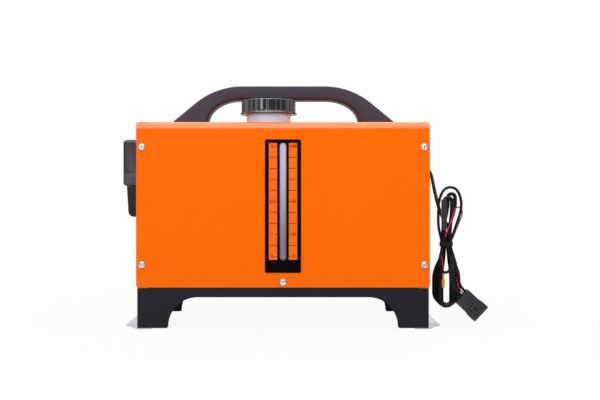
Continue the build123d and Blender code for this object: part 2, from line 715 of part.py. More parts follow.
def carry_handle():
    """Moulded handle: bevelled below for the fingers, softly rounded above."""
    front = HANDLE_Y - HANDLE_DEPTH / 2
    rear = HANDLE_Y + HANDLE_DEPTH / 2
    body = slab_xz(handle_outline(), front, rear)
    grip_under = [edge for edge in body.edges() if is_under_edge(edge)]
    body = chamfer(grip_under, HANDLE_BEVEL)
    grip_over = [edge for edge in body.edges() if is_over_edge(edge, front, rear)]
    body = fillet(grip_over, HANDLE_EDGE)
    bores = [rod_z(x, y, COVER_TOP - 1, COVER_TOP + HANDLE_SCREW_LENGTH,
                   SCREW_RADIUS + HOLE_GAP) for x, y in handle_screw_places()]
    return body - bores


def is_under_edge(edge):
    """True for the long lower edges of the grip and its inner bends."""
    middle = edge @ 0.5
    runs_along_y = abs((edge % 0.5).Y) > 0.5
    inside = abs(middle.X) < HANDLE_INNER_HALF + 1 and middle.Z < HANDLE_UNDER + 0.1
    return inside and not runs_along_y and middle.Z > COVER_TOP + 1


def is_over_edge(edge, front, rear):
    """True for the long upper edges, from foot to foot."""
    middle = edge @ 0.5
    on_side = min(abs(middle.Y - front), abs(middle.Y - rear)) < 0.01
    upper = middle.Z > HANDLE_UNDER + HANDLE_BEVEL + 2 or abs(middle.X) > HANDLE_INNER_HALF + 8
    return on_side and upper and middle.Z > COVER_TOP + 1


def handle_screws():
    screw = Rot(180, 0, 0) * pan_screw(HANDLE_SCREW_LENGTH - 1 + SHEET)
    return [Pos(x, y, COVER_TOP - SHEET) * screw for x, y in handle_screw_places()]


# ---------------------------------------------------------------- tank and cap
def tank_profile(inset):
    """L-shaped face in (y, z): wide above the burner unit, with a leg down the front."""
    front = TANK_FRONT + inset
    rear = TANK_REAR - inset
    top = TANK_TOP - inset
    floor = TANK_FLOOR + inset
    leg_rear = TANK_FRONT + TANK_LEG_DEPTH - inset
    leg_bottom = TANK_LEG_BOTTOM + inset
    outline = Polyline((front, leg_bottom), (leg_rear, leg_bottom), (leg_rear, floor),
                       (rear, floor), (rear, top), (front, top), close=True)
    return fillet(make_face(outline).vertices(), TANK_ROUND - inset)


def fuel_tank():
    """Blow-moulded tank with a round neck that stands through the cover, and a hollow
    rib on its front that fills the sight slot."""
    rib_face = FRONT + SIGHT_SUNK
    rib = slab_xz(sight_slot(SIGHT_GAP), rib_face, TANK_FRONT + TANK_WALL / 2)
    rib = fillet(rib.edges().group_by(Axis.Y)[0], SIGHT_ROUND)
    body = slab_yz(tank_profile(0), TANK_LEFT, TANK_RIGHT) + rib
    body += rod_z(NECK_X, NECK_Y, TANK_TOP - TANK_WALL, NECK_TOP, NECK_RADIUS)
    body -= slab_yz(tank_profile(TANK_WALL), TANK_LEFT + TANK_WALL, TANK_RIGHT - TANK_WALL)
    body -= slab_xz(sight_slot(SIGHT_GAP + TANK_WALL), rib_face + TANK_WALL,
                    TANK_FRONT + TANK_WALL + 1)
    body -= rod_z(NECK_X, NECK_Y, TANK_TOP - TANK_WALL - 1, NECK_TOP + 1,
                  NECK_RADIUS - NECK_WALL)
    return body - rod_x(TANK_RIGHT - TANK_WALL - 1, TANK_RIGHT + 1, FILTER_Y, FITTING_Z,
                        FITTING_RADIUS)


def tank_outlet_fitting():
    """Barbed brass stub pressed into the tank's right end, with a collar outside."""
    inside = TANK_RIGHT - TANK_WALL
    outside = TANK_RIGHT + FITTING_LENGTH
    barb = rod_x(inside, outside, FILTER_Y, FITTING_Z, FITTING_RADIUS - HOLE_GAP / 2)
    collar = rod_x(TANK_RIGHT, TANK_RIGHT + FITTING_COLLAR, FILTER_Y, FITTING_Z,
                   FITTING_RADIUS + 2)
    bore = rod_x(inside - 1, outside + 1, FILTER_Y, FITTING_Z, FITTING_BORE)
    return barb + collar - bore


def cap_seal():
    return rod_z(NECK_X, NECK_Y, NECK_TOP, NECK_TOP + SEAL_THICKNESS,
                 NECK_RADIUS + CAP_NECK_GAP / 2)


def fuel_cap():
    """Screw cap: ribbed wall, chamfered top and a wider rim at its mouth."""
    rim_top = CAP_BOTTOM + CAP_RIM_HEIGHT
    wall = rod_z(NECK_X, NECK_Y, CAP_BOTTOM, CAP_TOP_Z, CAP_RADIUS)
    wall = chamfer(wall.edges().group_by(Axis.Z)[-1], CAP_CHAMFER)
    rib = block(CAP_RADIUS - 1, CAP_RADIUS + CAP_RIB, -CAP_RIB_WIDTH / 2, CAP_RIB_WIDTH / 2,
                rim_top - CAP_RIB_ROOT, CAP_TOP_Z - CAP_CHAMFER)
    ribs = [Pos(NECK_X, NECK_Y, 0) * Rot(0, 0, 360 * i / CAP_RIB_COUNT) * rib
            for i in range(CAP_RIB_COUNT)]
    rim = rod_z(NECK_X, NECK_Y, CAP_BOTTOM, rim_top, CAP_RIM_RADIUS)
    hollow = rod_z(NECK_X, NECK_Y, CAP_BOTTOM - 1, CAP_TOP_Z - CAP_TOP,
                   NECK_RADIUS + CAP_NECK_GAP)
    return wall + ribs + rim - hollow


# ---------------------------------------------------------------- burner unit
def unit_face(inset):
    """Rounded section of the burner unit's casing in (y, z)."""
    return Pos(UNIT_Y, UNIT_Z) * RectangleRounded(
        UNIT_WIDTH - 2 * inset, UNIT_HEIGHT - 2 * inset, UNIT_CORNER - inset)


def casing_shell():
    shell = slab_yz(unit_face(0) - unit_face(UNIT_WALL), UNIT_LEFT, UNIT_RIGHT)
    holes = [rod_z(EXHAUST_X, UNIT_Y, 0, UNIT_Z, EXHAUST_RADIUS + PIPE_HOLE_GAP),
             rod_z(BLOWER_MID, UNIT_Y, 0, UNIT_Z, AIR_PIPE_RADIUS + PIPE_HOLE_GAP),
             rod_z(*LINE_END, 0, UNIT_Z, HOSE_RADIUS + PIPE_HOLE_GAP)]
    holes += [rod_z(x, y, 0, UNIT_Z, BOLT_RADIUS + HOLE_GAP) for x, y in bolt_places()]
    return shell - holes


def heater_casing_lower():
    return casing_shell() & block(UNIT_LEFT - 1, UNIT_RIGHT + 1, -REAR, REAR, 0, UNIT_Z)


def heater_casing_upper():
    return casing_shell() & block(UNIT_LEFT - 1, UNIT_RIGHT + 1, -REAR, REAR, UNIT_Z, COVER_TOP)


def outlet_hood():
    """Funnel from the casing's rounded section to the round warm-air outlet."""
    end_x = -END_OUT + OUTLET_TUBE - OUTLET_FLANGE
    wide = Plane.YZ.offset(UNIT_LEFT) * unit_face(0)
    round_radius = OUTLET_RADIUS + LOUVRE_GAP + OUTLET_RING_WALL
    narrow = Plane.YZ.offset(end_x) * (Pos(UNIT_Y, UNIT_Z) * Circle(round_radius))
    wide_in = Plane.YZ.offset(UNIT_LEFT) * unit_face(UNIT_WALL)
    narrow_in = Plane.YZ.offset(end_x) * (Pos(UNIT_Y, UNIT_Z)
                                          * Circle(round_radius - OUTLET_RING_WALL))
    return loft([wide, narrow]) - loft([wide_in, narrow_in])


def heat_exchanger():
    """Cast aluminium pot, closed to the left, with long fins round it and a flange."""
    left_cap = EXCHANGER_LEFT + EXCHANGER_WALL
    pot = rod_x(EXCHANGER_LEFT, EXCHANGER_RIGHT, UNIT_Y, UNIT_Z, EXCHANGER_RADIUS)
    pot += rod_x(EXCHANGER_RIGHT - EXCHANGER_FLANGE_THICKNESS, EXCHANGER_RIGHT, UNIT_Y, UNIT_Z,
                 EXCHANGER_FLANGE)
    fin_right = EXCHANGER_RIGHT - EXCHANGER_FLANGE_THICKNESS - FIN_END_GAP
    fin = block(left_cap, fin_right, -FIN_THICKNESS / 2, FIN_THICKNESS / 2,
                EXCHANGER_RADIUS - 1, EXCHANGER_RADIUS + FIN_HEIGHT)
    step = 360 / FIN_COUNT
    fins = [Pos(0, UNIT_Y, UNIT_Z) * Rot((i + 0.5) * step, 0, 0) * fin for i in range(FIN_COUNT)]
    boss = rod_z(EXHAUST_X, UNIT_Y, EXHAUST_SEAT, UNIT_Z - EXCHANGER_RADIUS + EXCHANGER_WALL,
                 EXHAUST_RADIUS + EXHAUST_BOSS)
    hollow = rod_x(left_cap, EXCHANGER_RIGHT + 1, UNIT_Y, UNIT_Z,
                   EXCHANGER_RADIUS - EXCHANGER_WALL)
    port = rod_z(EXHAUST_X, UNIT_Y, EXHAUST_SEAT - 1, UNIT_Z, EXHAUST_RADIUS - PIPE_WALL)
    glow_hole = rod_z(GLOW_X, UNIT_Y, UNIT_Z, UNIT_TOP, GLOW_RADIUS + HOLE_GAP)
    return pot + fins + boss - hollow - port - glow_hole


def burner():
    """Thin steel flame tube with rows of air holes and a flange against the blower."""
    left = EXCHANGER_RIGHT - BURNER_LENGTH
    tube = rod_x(left, EXCHANGER_RIGHT, UNIT_Y, UNIT_Z, BURNER_RADIUS)
    tube -= rod_x(left - 1, EXCHANGER_RIGHT - BURNER_WALL, UNIT_Y, UNIT_Z,
                  BURNER_RADIUS - BURNER_WALL)
    collar = rod_x(EXCHANGER_RIGHT - BURNER_WALL, EXCHANGER_RIGHT, UNIT_Y, UNIT_Z,
                   EXCHANGER_RADIUS - EXCHANGER_WALL - HOLE_GAP)
    air_holes = [Pos(left + BURNER_LENGTH / 3, UNIT_Y, UNIT_Z) * Rot(360 * i / BURNER_HOLES, 0, 0)
                 * Pos(0, 0, BURNER_RADIUS) * Cylinder(BURNER_HOLE_RADIUS, 4 * BURNER_WALL)
                 for i in range(BURNER_HOLES)]
    glow_hole = rod_z(GLOW_X, UNIT_Y, UNIT_Z, UNIT_TOP, GLOW_RADIUS + HOLE_GAP)
    return tube + collar - air_holes - glow_hole


def glow_plug():
    """Ceramic pin through pot and flame tube, with a hexagon seated on the pot."""
    seat = UNIT_Z + EXCHANGER_RADIUS
    hexagon_top = seat + GLOW_HEX_HEIGHT
    pin = rod_z(GLOW_X, UNIT_Y, seat - GLOW_REACH, seat + 1, GLOW_RADIUS)
    hexagon = Pos(GLOW_X, UNIT_Y, seat) * extrude(RegularPolygon(GLOW_HEX, 6), GLOW_HEX_HEIGHT)
    terminal = rod_z(GLOW_X, UNIT_Y, hexagon_top, hexagon_top + GLOW_TERMINAL, GLOW_RADIUS / 2)
    return pin + hexagon + terminal


def blower_housing():
    """Cast scroll between flame tube and motor, with the combustion air port below."""
    can = rod_x(BLOWER_LEFT, BLOWER_RIGHT, UNIT_Y, UNIT_Z, BLOWER_RADIUS)
    chamber = rod_x(IMPELLER_LEFT - CHAMBER_GAP, IMPELLER_LEFT + IMPELLER_WIDTH + CHAMBER_GAP,
                    UNIT_Y, UNIT_Z, IMPELLER_RADIUS + 2 * CHAMBER_GAP)
    shaft_way = rod_x(BLOWER_LEFT + BLOWER_WALL, BLOWER_RIGHT + 1, UNIT_Y, UNIT_Z,
                      SHAFT_RADIUS + SHAFT_GAP)
    port = rod_z(BLOWER_MID, UNIT_Y, UNIT_Z - BLOWER_RADIUS - 1, UNIT_Z,
                 AIR_PIPE_RADIUS - PIPE_WALL)
    low = UNIT_Z - BLOWER_RADIUS
    end_x, end_y = LINE_END
    seat = block(BLOWER_MID - AIR_PIPE_RADIUS - 1, end_x + HOSE_RADIUS + 1,
                 end_y - HOSE_RADIUS - 1, UNIT_Y + AIR_PIPE_RADIUS + 1,
                 low, low + BLOWER_RADIUS / 2)
    seat &= block(BLOWER_LEFT, BLOWER_RIGHT, -REAR, REAR, 0, UNIT_Z)
    feed = rod_z(end_x, end_y, low - 1, low + FEED_DEPTH, HOSE_RADIUS / 2)
    return can + seat - chamber - shaft_way - port - feed


def blower_motor():
    """Round motor can behind the blower, with ribs that reach the casing."""
    can = rod_x(BLOWER_RIGHT, MOTOR_RIGHT, UNIT_Y, UNIT_Z, MOTOR_RADIUS)
    rib_half = UNIT_WIDTH / 2 - UNIT_WALL
    rib = block(BLOWER_RIGHT, BLOWER_RIGHT + MOTOR_RIB_LENGTH, UNIT_Y - rib_half,
                UNIT_Y + rib_half, UNIT_Z - MOTOR_RIB / 2, UNIT_Z + MOTOR_RIB / 2)
    bore = rod_x(BLOWER_RIGHT - 1, MOTOR_RIGHT + 1, UNIT_Y, UNIT_Z, SHAFT_RADIUS + SHAFT_GAP)
    return can + rib - bore


def motor_shaft():
    return rod_x(IMPELLER_LEFT, FAN_LEFT + FAN_WIDTH, UNIT_Y, UNIT_Z, SHAFT_RADIUS)


def air_fan():
    """Axial fan: flat blades set at a pitch round a hub."""
    mid = FAN_LEFT + FAN_WIDTH / 2
    hub = rod_x(FAN_LEFT, FAN_LEFT + FAN_WIDTH, UNIT_Y, UNIT_Z, FAN_HUB_RADIUS)
    root = FAN_HUB_RADIUS - FAN_BLADE_THICKNESS
    blade = Rot(0, 0, FAN_PITCH) * Pos(0, 0, (root + FAN_RADIUS) / 2) * Box(
        FAN_WIDTH, FAN_BLADE_THICKNESS, FAN_RADIUS - root)
    blades = [Pos(mid, UNIT_Y, UNIT_Z) * Rot(360 * i / FAN_BLADES, 0, 0) * blade
              for i in range(FAN_BLADES)]
    return hub + blades - rod_x(FAN_LEFT - 1, FAN_LEFT + FAN_WIDTH + 1, UNIT_Y, UNIT_Z,
                                SHAFT_RADIUS)


def combustion_impeller():
    """Back plate with straight blades that throw combustion air into the port."""
    plate = rod_x(IMPELLER_LEFT, IMPELLER_LEFT + IMPELLER_SHEET, UNIT_Y, UNIT_Z, IMPELLER_RADIUS)
    hub = rod_x(IMPELLER_LEFT, IMPELLER_LEFT + IMPELLER_WIDTH, UNIT_Y, UNIT_Z, IMPELLER_HUB)
    vane = block(IMPELLER_LEFT, IMPELLER_LEFT + IMPELLER_WIDTH - 1, -IMPELLER_SHEET / 2,
                 IMPELLER_SHEET / 2, IMPELLER_HUB - 1, IMPELLER_RADIUS - 1)
    vanes = [Pos(0, UNIT_Y, UNIT_Z) * Rot(360 * i / IMPELLER_BLADES, 0, 0) * vane
             for i in range(IMPELLER_BLADES)]
    return plate + hub + vanes - rod_x(IMPELLER_LEFT - 1, IMPELLER_LEFT + IMPELLER_WIDTH + 1,
                                       UNIT_Y, UNIT_Z, SHAFT_RADIUS)


def stub(x, top, radius):
    """Pipe stub with a plain spigot below a slight shoulder."""
    spigot_top = PIPE_BOTTOM + PIPE_SPIGOT
    upper = rod_z(x, UNIT_Y, spigot_top, top, radius + PIPE_SHOULDER)
    return pipe_z(x, UNIT_Y, PIPE_BOTTOM, top, radius, PIPE_WALL) + (
        upper - rod_z(x, UNIT_Y, spigot_top - 1, top + 1, radius - PIPE_WALL))


def exhaust_stub():
    return stub(EXHAUST_X, EXHAUST_SEAT, EXHAUST_RADIUS)


def combustion_air_stub():
    return stub(BLOWER_MID, UNIT_Z - BLOWER_RADIUS, AIR_PIPE_RADIUS)


def bolt_places():
    return [(EXCHANGER_RIGHT - back, UNIT_Y + side * (UNIT_FLAT - BOLT_EDGE))
            for back in BOLT_BACK for side in (-1, 1)]


def heater_gasket():
    """Thick pad between the deck and the casing, with a hole for each pipe and bolt."""
    pad = block(EXHAUST_X - GASKET_LEFT_EDGE, BLOWER_MID + GASKET_RIGHT_EDGE,
                UNIT_Y - UNIT_FLAT, UNIT_Y + UNIT_FLAT, DECK_TOP, UNIT_BOTTOM)
    holes = [rod_z(EXHAUST_X, UNIT_Y, 0, UNIT_Z, EXHAUST_RADIUS + PIPE_HOLE_GAP),
             rod_z(BLOWER_MID, UNIT_Y, 0, UNIT_Z, AIR_PIPE_RADIUS + PIPE_HOLE_GAP),
             rod_z(*LINE_END, 0, UNIT_Z, HOSE_RADIUS + PIPE_HOLE_GAP)]
    holes += [rod_z(x, y, 0, UNIT_Z, BOLT_RADIUS + HOLE_GAP) for x, y in bolt_places()]
    return pad - holes


def heater_bolts():
    """Hexagon bolts up through the deck, each with a nut inside the casing."""
    bolts = []
    inside = UNIT_BOTTOM + UNIT_WALL
    for x, y in bolt_places():
        head = Pos(x, y, DECK_BOTTOM - BOLT_HEAD) * extrude(RegularPolygon(BOLT_HEX, 6), BOLT_HEAD)
        shank = rod_z(x, y, DECK_BOTTOM - 1, inside + NUT_HEIGHT, BOLT_RADIUS)
        nut = Pos(x, y, inside) * extrude(RegularPolygon(BOLT_HEX, 6), NUT_HEIGHT)
        bolts.append(head + shank + nut)
    return bolts


def heat_shield():
    """Channel over the burner unit that keeps the tank cool and carries it."""
    front = TANK_FRONT + TANK_LEG_DEPTH + SHIELD_LEG_GAP
    rear = TANK_REAR
    outer = block(SHIELD_LEFT, SHIELD_RIGHT, front, rear, DECK_TOP, SHIELD_TOP)
    outer = fillet(outer.edges().filter_by(Axis.X).group_by(Axis.Z)[-1], SHIELD_BEND)
    inner = block(SHIELD_LEFT - 1, SHIELD_RIGHT + 1, front + SHIELD_SHEET, rear - SHIELD_SHEET,
                  0, SHIELD_TOP - SHIELD_SHEET)
    inner = fillet(inner.edges().filter_by(Axis.X).group_by(Axis.Z)[-1],
                   SHIELD_BEND - SHIELD_SHEET)
    foot = block(SHIELD_LEFT, SHIELD_RIGHT, rear - SHIELD_SHEET - SHIELD_FLANGE, rear,
                 DECK_TOP, DECK_TOP + SHIELD_SHEET)
    return outer - inner + foot


# ---------------------------------------------------------------- air path
def outlet_ring():
    """Flanged socket in the left end panel that the louvre turns in."""
    outer = OUTLET_RADIUS + LOUVRE_GAP + OUTLET_RING_WALL
    tube_end = -END_OUT + OUTLET_TUBE - OUTLET_FLANGE
    ring = rod_x(-END_OUT - OUTLET_FLANGE, -END_OUT, UNIT_Y, UNIT_Z, OUTLET_FLANGE_RADIUS)
    ring = chamfer(ring.edges().group_by(Axis.X)[0], 1)
    ring += rod_x(-END_OUT - 1, tube_end, UNIT_Y, UNIT_Z, outer)
    return ring - rod_x(-HALF_LENGTH - 9, tube_end + 1, UNIT_Y, UNIT_Z,
                        OUTLET_RADIUS + LOUVRE_GAP)


def outlet_louvre():
    """Round insert with tilted blades; it turns in the socket to aim the air."""
    face = -END_OUT - OUTLET_FLANGE
    ring = rod_x(face, face + LOUVRE_DEPTH, UNIT_Y, UNIT_Z, OUTLET_RADIUS)
    ring += rod_x(face - LOUVRE_FLANGE, face, UNIT_Y, UNIT_Z, LOUVRE_FLANGE_RADIUS)
    inner = OUTLET_RADIUS - LOUVRE_WALL
    bore = rod_x(face - LOUVRE_FLANGE - 1, face + LOUVRE_DEPTH + 1, UNIT_Y, UNIT_Z, inner)
    pitch = 2 * inner / (LOUVRE_BLADES + 1)
    blades = []
    for i in range(LOUVRE_BLADES):
        offset = (i - (LOUVRE_BLADES - 1) / 2) * pitch
        blade = Box(LOUVRE_CHORD, 2 * OUTLET_RADIUS, LOUVRE_BLADE)
        blades.append(Pos(face + LOUVRE_CHORD / 2 + LOUVRE_SUNK, UNIT_Y, UNIT_Z + offset)
                      * Rot(0, LOUVRE_TILT, 0) * blade)
    limit = rod_x(face, face + LOUVRE_DEPTH, UNIT_Y, UNIT_Z, inner + LOUVRE_WALL / 2)
    return ring - bore + [blade & limit for blade in blades]


def intake_grille():
    """Round grille in the right end panel: level bars crossed by one post."""
    disc = rod_x(END_OUT, END_OUT + GRILLE_THICKNESS, UNIT_Y, UNIT_Z, GRILLE_RADIUS)
    disc = chamfer(disc.edges().group_by(Axis.X)[-1], 1)
    disc += rod_x(END_OUT - GRILLE_SPIGOT, END_OUT + 1, UNIT_Y, UNIT_Z, GRILLE_OPEN_RADIUS)
    inner = GRILLE_OPEN_RADIUS - GRILLE_WALL
    opening = rod_x(END_OUT - GRILLE_SPIGOT - 1, END_OUT + 9, UNIT_Y, UNIT_Z, inner)
    pitch = 2 * inner / (GRILLE_BARS + 1)
    bars = [block(END_OUT, END_OUT + GRILLE_THICKNESS - GRILLE_BAR_SUNK, UNIT_Y - inner, UNIT_Y + inner,
                  UNIT_Z + offset - GRILLE_BAR / 2, UNIT_Z + offset + GRILLE_BAR / 2)
            for offset in ((i - (GRILLE_BARS - 1) / 2) * pitch for i in range(GRILLE_BARS))]
    bars.append(block(END_OUT - GRILLE_SPIGOT, END_OUT + 1, UNIT_Y - GRILLE_BAR / 2,
                      UNIT_Y + GRILLE_BAR / 2, UNIT_Z - inner, UNIT_Z + inner))
    limit = rod_x(END_OUT - GRILLE_SPIGOT, END_OUT + GRILLE_THICKNESS, UNIT_Y, UNIT_Z, inner + 0.5)
    return disc - opening + [bar & limit for bar in bars]


# ---------------------------------------------------------------- fuel line
def fuel_pump():
    """Dosing pump standing on end, with a nipple top and bottom and a plug socket."""
    body = rod_z(PUMP_X, PUMP_Y, PUMP_BOTTOM, PUMP_TOP, PUMP_RADIUS)
    body = chamfer(body.edges().filter_by(GeomType.CIRCLE), PUMP_EDGE)
    nipples = rod_z(PUMP_X, PUMP_Y, PUMP_BOTTOM - PUMP_NIPPLE, PUMP_TOP + PUMP_NIPPLE,
                    HOSE_RADIUS)
    socket_top = PUMP_TOP - SOCKET_DOWN
    socket = block(PUMP_X - SOCKET_WIDTH / 2, PUMP_X + SOCKET_WIDTH / 2,
                   PUMP_Y + PUMP_RADIUS / 2, PUMP_Y + PUMP_RADIUS + SOCKET_PROUD,
                   socket_top - SOCKET_HEIGHT, socket_top)
    return body + nipples + socket


def pump_mount():
    """Rubber collar round the pump on a foot that stands on the deck."""
    low = PUMP_BOTTOM + MOUNT_UP
    left = PUMP_X - MOUNT_WIDTH / 2
    right = PUMP_X + MOUNT_WIDTH / 2
    outer = PUMP_RADIUS + MOUNT_RUBBER
    collar = rod_z(PUMP_X, PUMP_Y, low, low + MOUNT_HEIGHT, outer)
    post_y = PUMP_Y + outer - 2
    post = block(left, right, post_y, post_y + MOUNT_POST, DECK_TOP, low + MOUNT_HEIGHT)
    foot = block(left, right, post_y, post_y + MOUNT_FOOT, DECK_TOP,
                 DECK_TOP + MOUNT_FOOT_THICKNESS)
    return collar + post + foot - rod_z(PUMP_X, PUMP_Y, 0, COVER_TOP, PUMP_RADIUS)


def fuel_filter():
    """Clear in-line filter, ends coned down to its two nipples."""
    body = rod_z(PUMP_X, FILTER_Y, FILTER_BOTTOM, FILTER_TOP, FILTER_RADIUS)
    body = chamfer(body.edges().filter_by(GeomType.CIRCLE), FILTER_CONE)
    return body + rod_z(PUMP_X, FILTER_Y, FILTER_BOTTOM - FILTER_NIPPLE,
                        FILTER_TOP + FILTER_NIPPLE, HOSE_RADIUS)


def hose(points):
    path = FilletPolyline(*points, radius=HOSE_BEND)
    return sweep(Plane(origin=path @ 0, z_dir=path % 0) * Circle(HOSE_RADIUS), path=path)


def fuel_hose_tank():
    return hose([(TANK_RIGHT + FITTING_LENGTH, FILTER_Y, FITTING_Z),
                 (PUMP_X, FILTER_Y, FITTING_Z), (PUMP_X, FILTER_Y, FILTER_BOTTOM - FILTER_NIPPLE)])


def fuel_hose_pump():
    low = FILTER_TOP + FILTER_NIPPLE
    top = low + HOSE_BEND + 2
    return hose([(PUMP_X, FILTER_Y, low), (PUMP_X, FILTER_Y, top),
                 (PUMP_X, PUMP_Y, top), (PUMP_X, PUMP_Y, PUMP_TOP + PUMP_NIPPLE)])


def fuel_hose_heater():
    end_x, end_y = LINE_END
    return hose([(PUMP_X, PUMP_Y, PUMP_BOTTOM - PUMP_NIPPLE), (PUMP_X, PUMP_Y, LINE_Z),
                 (end_x, end_y, LINE_Z), (end_x, end_y, UNIT_Z - BLOWER_RADIUS)])


# ---------------------------------------------------------------- electronics
def board_places():
    out_y = BOARD_WIDTH / 2 - STUD_INSET
    out_z = BOARD_HEIGHT / 2 - STUD_INSET
    return [(BOARD_Y + sy * out_y, BOARD_Z + sz * out_z) for sy in (-1, 1) for sz in (-1, 1)]


def control_board():
    """Board on four studs, with two relays, a row of capacitors and a terminal block."""
    back = END_IN - BOARD_OFF
    face = back - BOARD_THICKNESS
    low = BOARD_Z - BOARD_HEIGHT / 2
    board = block(face, back, BOARD_Y - BOARD_WIDTH / 2, BOARD_Y + BOARD_WIDTH / 2,
                  low, low + BOARD_HEIGHT)
    relays = [block(face - RELAY_DEPTH, face + SEAT_IN, y - RELAY_SIDE / 2, y + RELAY_SIDE / 2,
                    BOARD_Z + STUD_INSET, BOARD_Z + STUD_INSET + RELAY_HEIGHT)
              for y in (BOARD_Y - RELAY_SIDE, BOARD_Y + RELAY_SIDE / 2)]
    cans = [rod_x(face - CAN_DEPTH, face + SEAT_IN, BOARD_Y + i * 3 * CAN_RADIUS, BOARD_Z - 2,
                  CAN_RADIUS) for i in (-1, 0, 1)]
    terminals = block(face - TERMINAL_DEPTH, face + SEAT_IN, BOARD_Y - TERMINAL_WIDTH / 2,
                      BOARD_Y + TERMINAL_WIDTH / 2, low + SEAT_IN,
                      low + SEAT_IN + TERMINAL_HEIGHT)
    return board + relays + cans + terminals


# ---------------------------------------------------------------- display
def display_face(inset, bottom, top, radius):
    width = DISPLAY_WIDTH - 2 * inset
    return Pos(0, (bottom + top) / 2) * RectangleRounded(width, top - bottom - 2 * inset, radius)


def display_cradle():
    """Plate on the end panel with a step round the box and a hollow chin below it."""
    plate = slab_yz(display_face(0, CHIN_BOTTOM, DISPLAY_TOP + CRADLE_RIM, CHIN_CORNER),
                    DISPLAY_BACK, -END_OUT)
    chin_top = DISPLAY_BOTTOM - DISPLAY_FIT
    outline = Polyline((-END_OUT - CHIN_PROUD_LOW, CHIN_BOTTOM), (-END_OUT, CHIN_BOTTOM),
                       (-END_OUT, chin_top), (-END_OUT - CHIN_PROUD_TOP, chin_top), close=True)
    profile = make_face(outline)
    toe = profile.vertices().sort_by(Axis.Y)[:2].sort_by(Axis.X)[0]
    profile = fillet(toe, CHIN_TOE)
    half = DISPLAY_WIDTH / 2
    chin = slab_xz(profile, -half, half)
    side_edges = [edge for edge in chin.edges()
                  if abs(abs((edge @ 0.5).Y) - half) < 0.01 and is_outside_chin(edge @ 0.5)]
    chin = fillet(side_edges, CHIN_CORNER - 1)
    hollow = slab_xz(offset(profile, -CHIN_WALL), -half + CHIN_CORNER, half - CHIN_CORNER)
    return plate + (chin - hollow)


def is_outside_chin(point):
    """True for a point on the chin's outer face or toe."""
    below_top = point.Z < DISPLAY_BOTTOM - DISPLAY_FIT - 1
    return below_top and point.X < -END_OUT - CHIN_PROUD_LOW + CHIN_TOE


def display_housing():
    """Box of the display: screen window, button holes and a sunk panel on each side."""
    box = slab_yz(display_face(0, DISPLAY_BOTTOM, DISPLAY_TOP, DISPLAY_CORNER),
                  DISPLAY_FACE, DISPLAY_BACK)
    face_edges = box.edges().group_by(Axis.X)[0]
    low_edge = face_edges.sort_by(Axis.Z)[0]
    box = chamfer(low_edge, DISPLAY_LOW_EDGE, DISPLAY_LOW_EDGE / 2)
    box = fillet(box.edges().group_by(Axis.X)[0], DISPLAY_EDGE)
    box -= slab_yz(display_face(DISPLAY_WALL, DISPLAY_BOTTOM, DISPLAY_TOP,
                                DISPLAY_CORNER - DISPLAY_WALL),
                   DISPLAY_FACE + DISPLAY_WALL, DISPLAY_BACK + 1)
    half = DISPLAY_WIDTH / 2
    side_cuts = [block(DISPLAY_FACE + SIDE_PANEL_FRONT, DISPLAY_BACK - SIDE_PANEL_REAR,
                       side * half - SIDE_PANEL_DEPTH, side * half + SIDE_PANEL_DEPTH,
                       SIDE_PANEL_LOW, SIDE_PANEL_HIGH) for side in (-1, 1)]
    window = block(DISPLAY_FACE - 1, DISPLAY_FACE + DISPLAY_WALL + 1,
                   -SCREEN_WIDTH / 2 + SCREEN_LEDGE, SCREEN_WIDTH / 2 - SCREEN_LEDGE,
                   SCREEN_Z - SCREEN_HEIGHT / 2 + SCREEN_LEDGE,
                   SCREEN_Z + SCREEN_HEIGHT / 2 - SCREEN_LEDGE)
    rebate = block(DISPLAY_FACE - 1, DISPLAY_FACE + SCREEN_THICKNESS,
                   -SCREEN_WIDTH / 2, SCREEN_WIDTH / 2,
                   SCREEN_Z - SCREEN_HEIGHT / 2, SCREEN_Z + SCREEN_HEIGHT / 2)
    holes = [rod_x(DISPLAY_FACE - 1, DISPLAY_FACE + DISPLAY_WALL + 1, y, BUTTON_Z,
                   BUTTON_RADIUS + BUTTON_GAP) for y in button_places()]
    return box - side_cuts - window - rebate - holes


def display_lens():
    half_y = SCREEN_WIDTH / 2 - SCREEN_GAP
    half_z = SCREEN_HEIGHT / 2 - SCREEN_GAP
    return block(DISPLAY_FACE, DISPLAY_FACE + SCREEN_THICKNESS, -half_y, half_y,
                 SCREEN_Z - half_z, SCREEN_Z + half_z)


def display_board():
    """Board behind the box's face, with the screen module and one switch per button."""
    inset = DISPLAY_WALL + 1
    inside = DISPLAY_FACE + DISPLAY_WALL
    front = inside + BUTTON_FLANGE + BUTTON_TRAVEL + SWITCH_HEIGHT + DISPLAY_FIT
    half = DISPLAY_WIDTH / 2 - inset
    board = block(front, front + BOARD_THICKNESS, -half, half, DISPLAY_BOTTOM + inset,
                  DISPLAY_TOP - inset)
    screen = block(inside + DISPLAY_FIT, front + SEAT_IN, -SCREEN_WIDTH / 2,
                   SCREEN_WIDTH / 2, SCREEN_Z - SCREEN_HEIGHT / 2, SCREEN_Z + SCREEN_HEIGHT / 2)
    switches = [rod_x(front - SWITCH_HEIGHT, front + SEAT_IN, y, BUTTON_Z, SWITCH_RADIUS)
                for y in button_places()]
    posts = [rod_x(front, DISPLAY_BACK, sy * (half - STUD_INSET), z, STUD_RADIUS)
             for sy in (-1, 1) for z in (DISPLAY_BOTTOM + POST_INSET, DISPLAY_TOP - POST_INSET)]
    return board + screen + switches + posts


def button_places():
    count = len(BUTTONS)
    return [((count - 1) / 2 - i) * BUTTON_SPACING for i in range(count)]


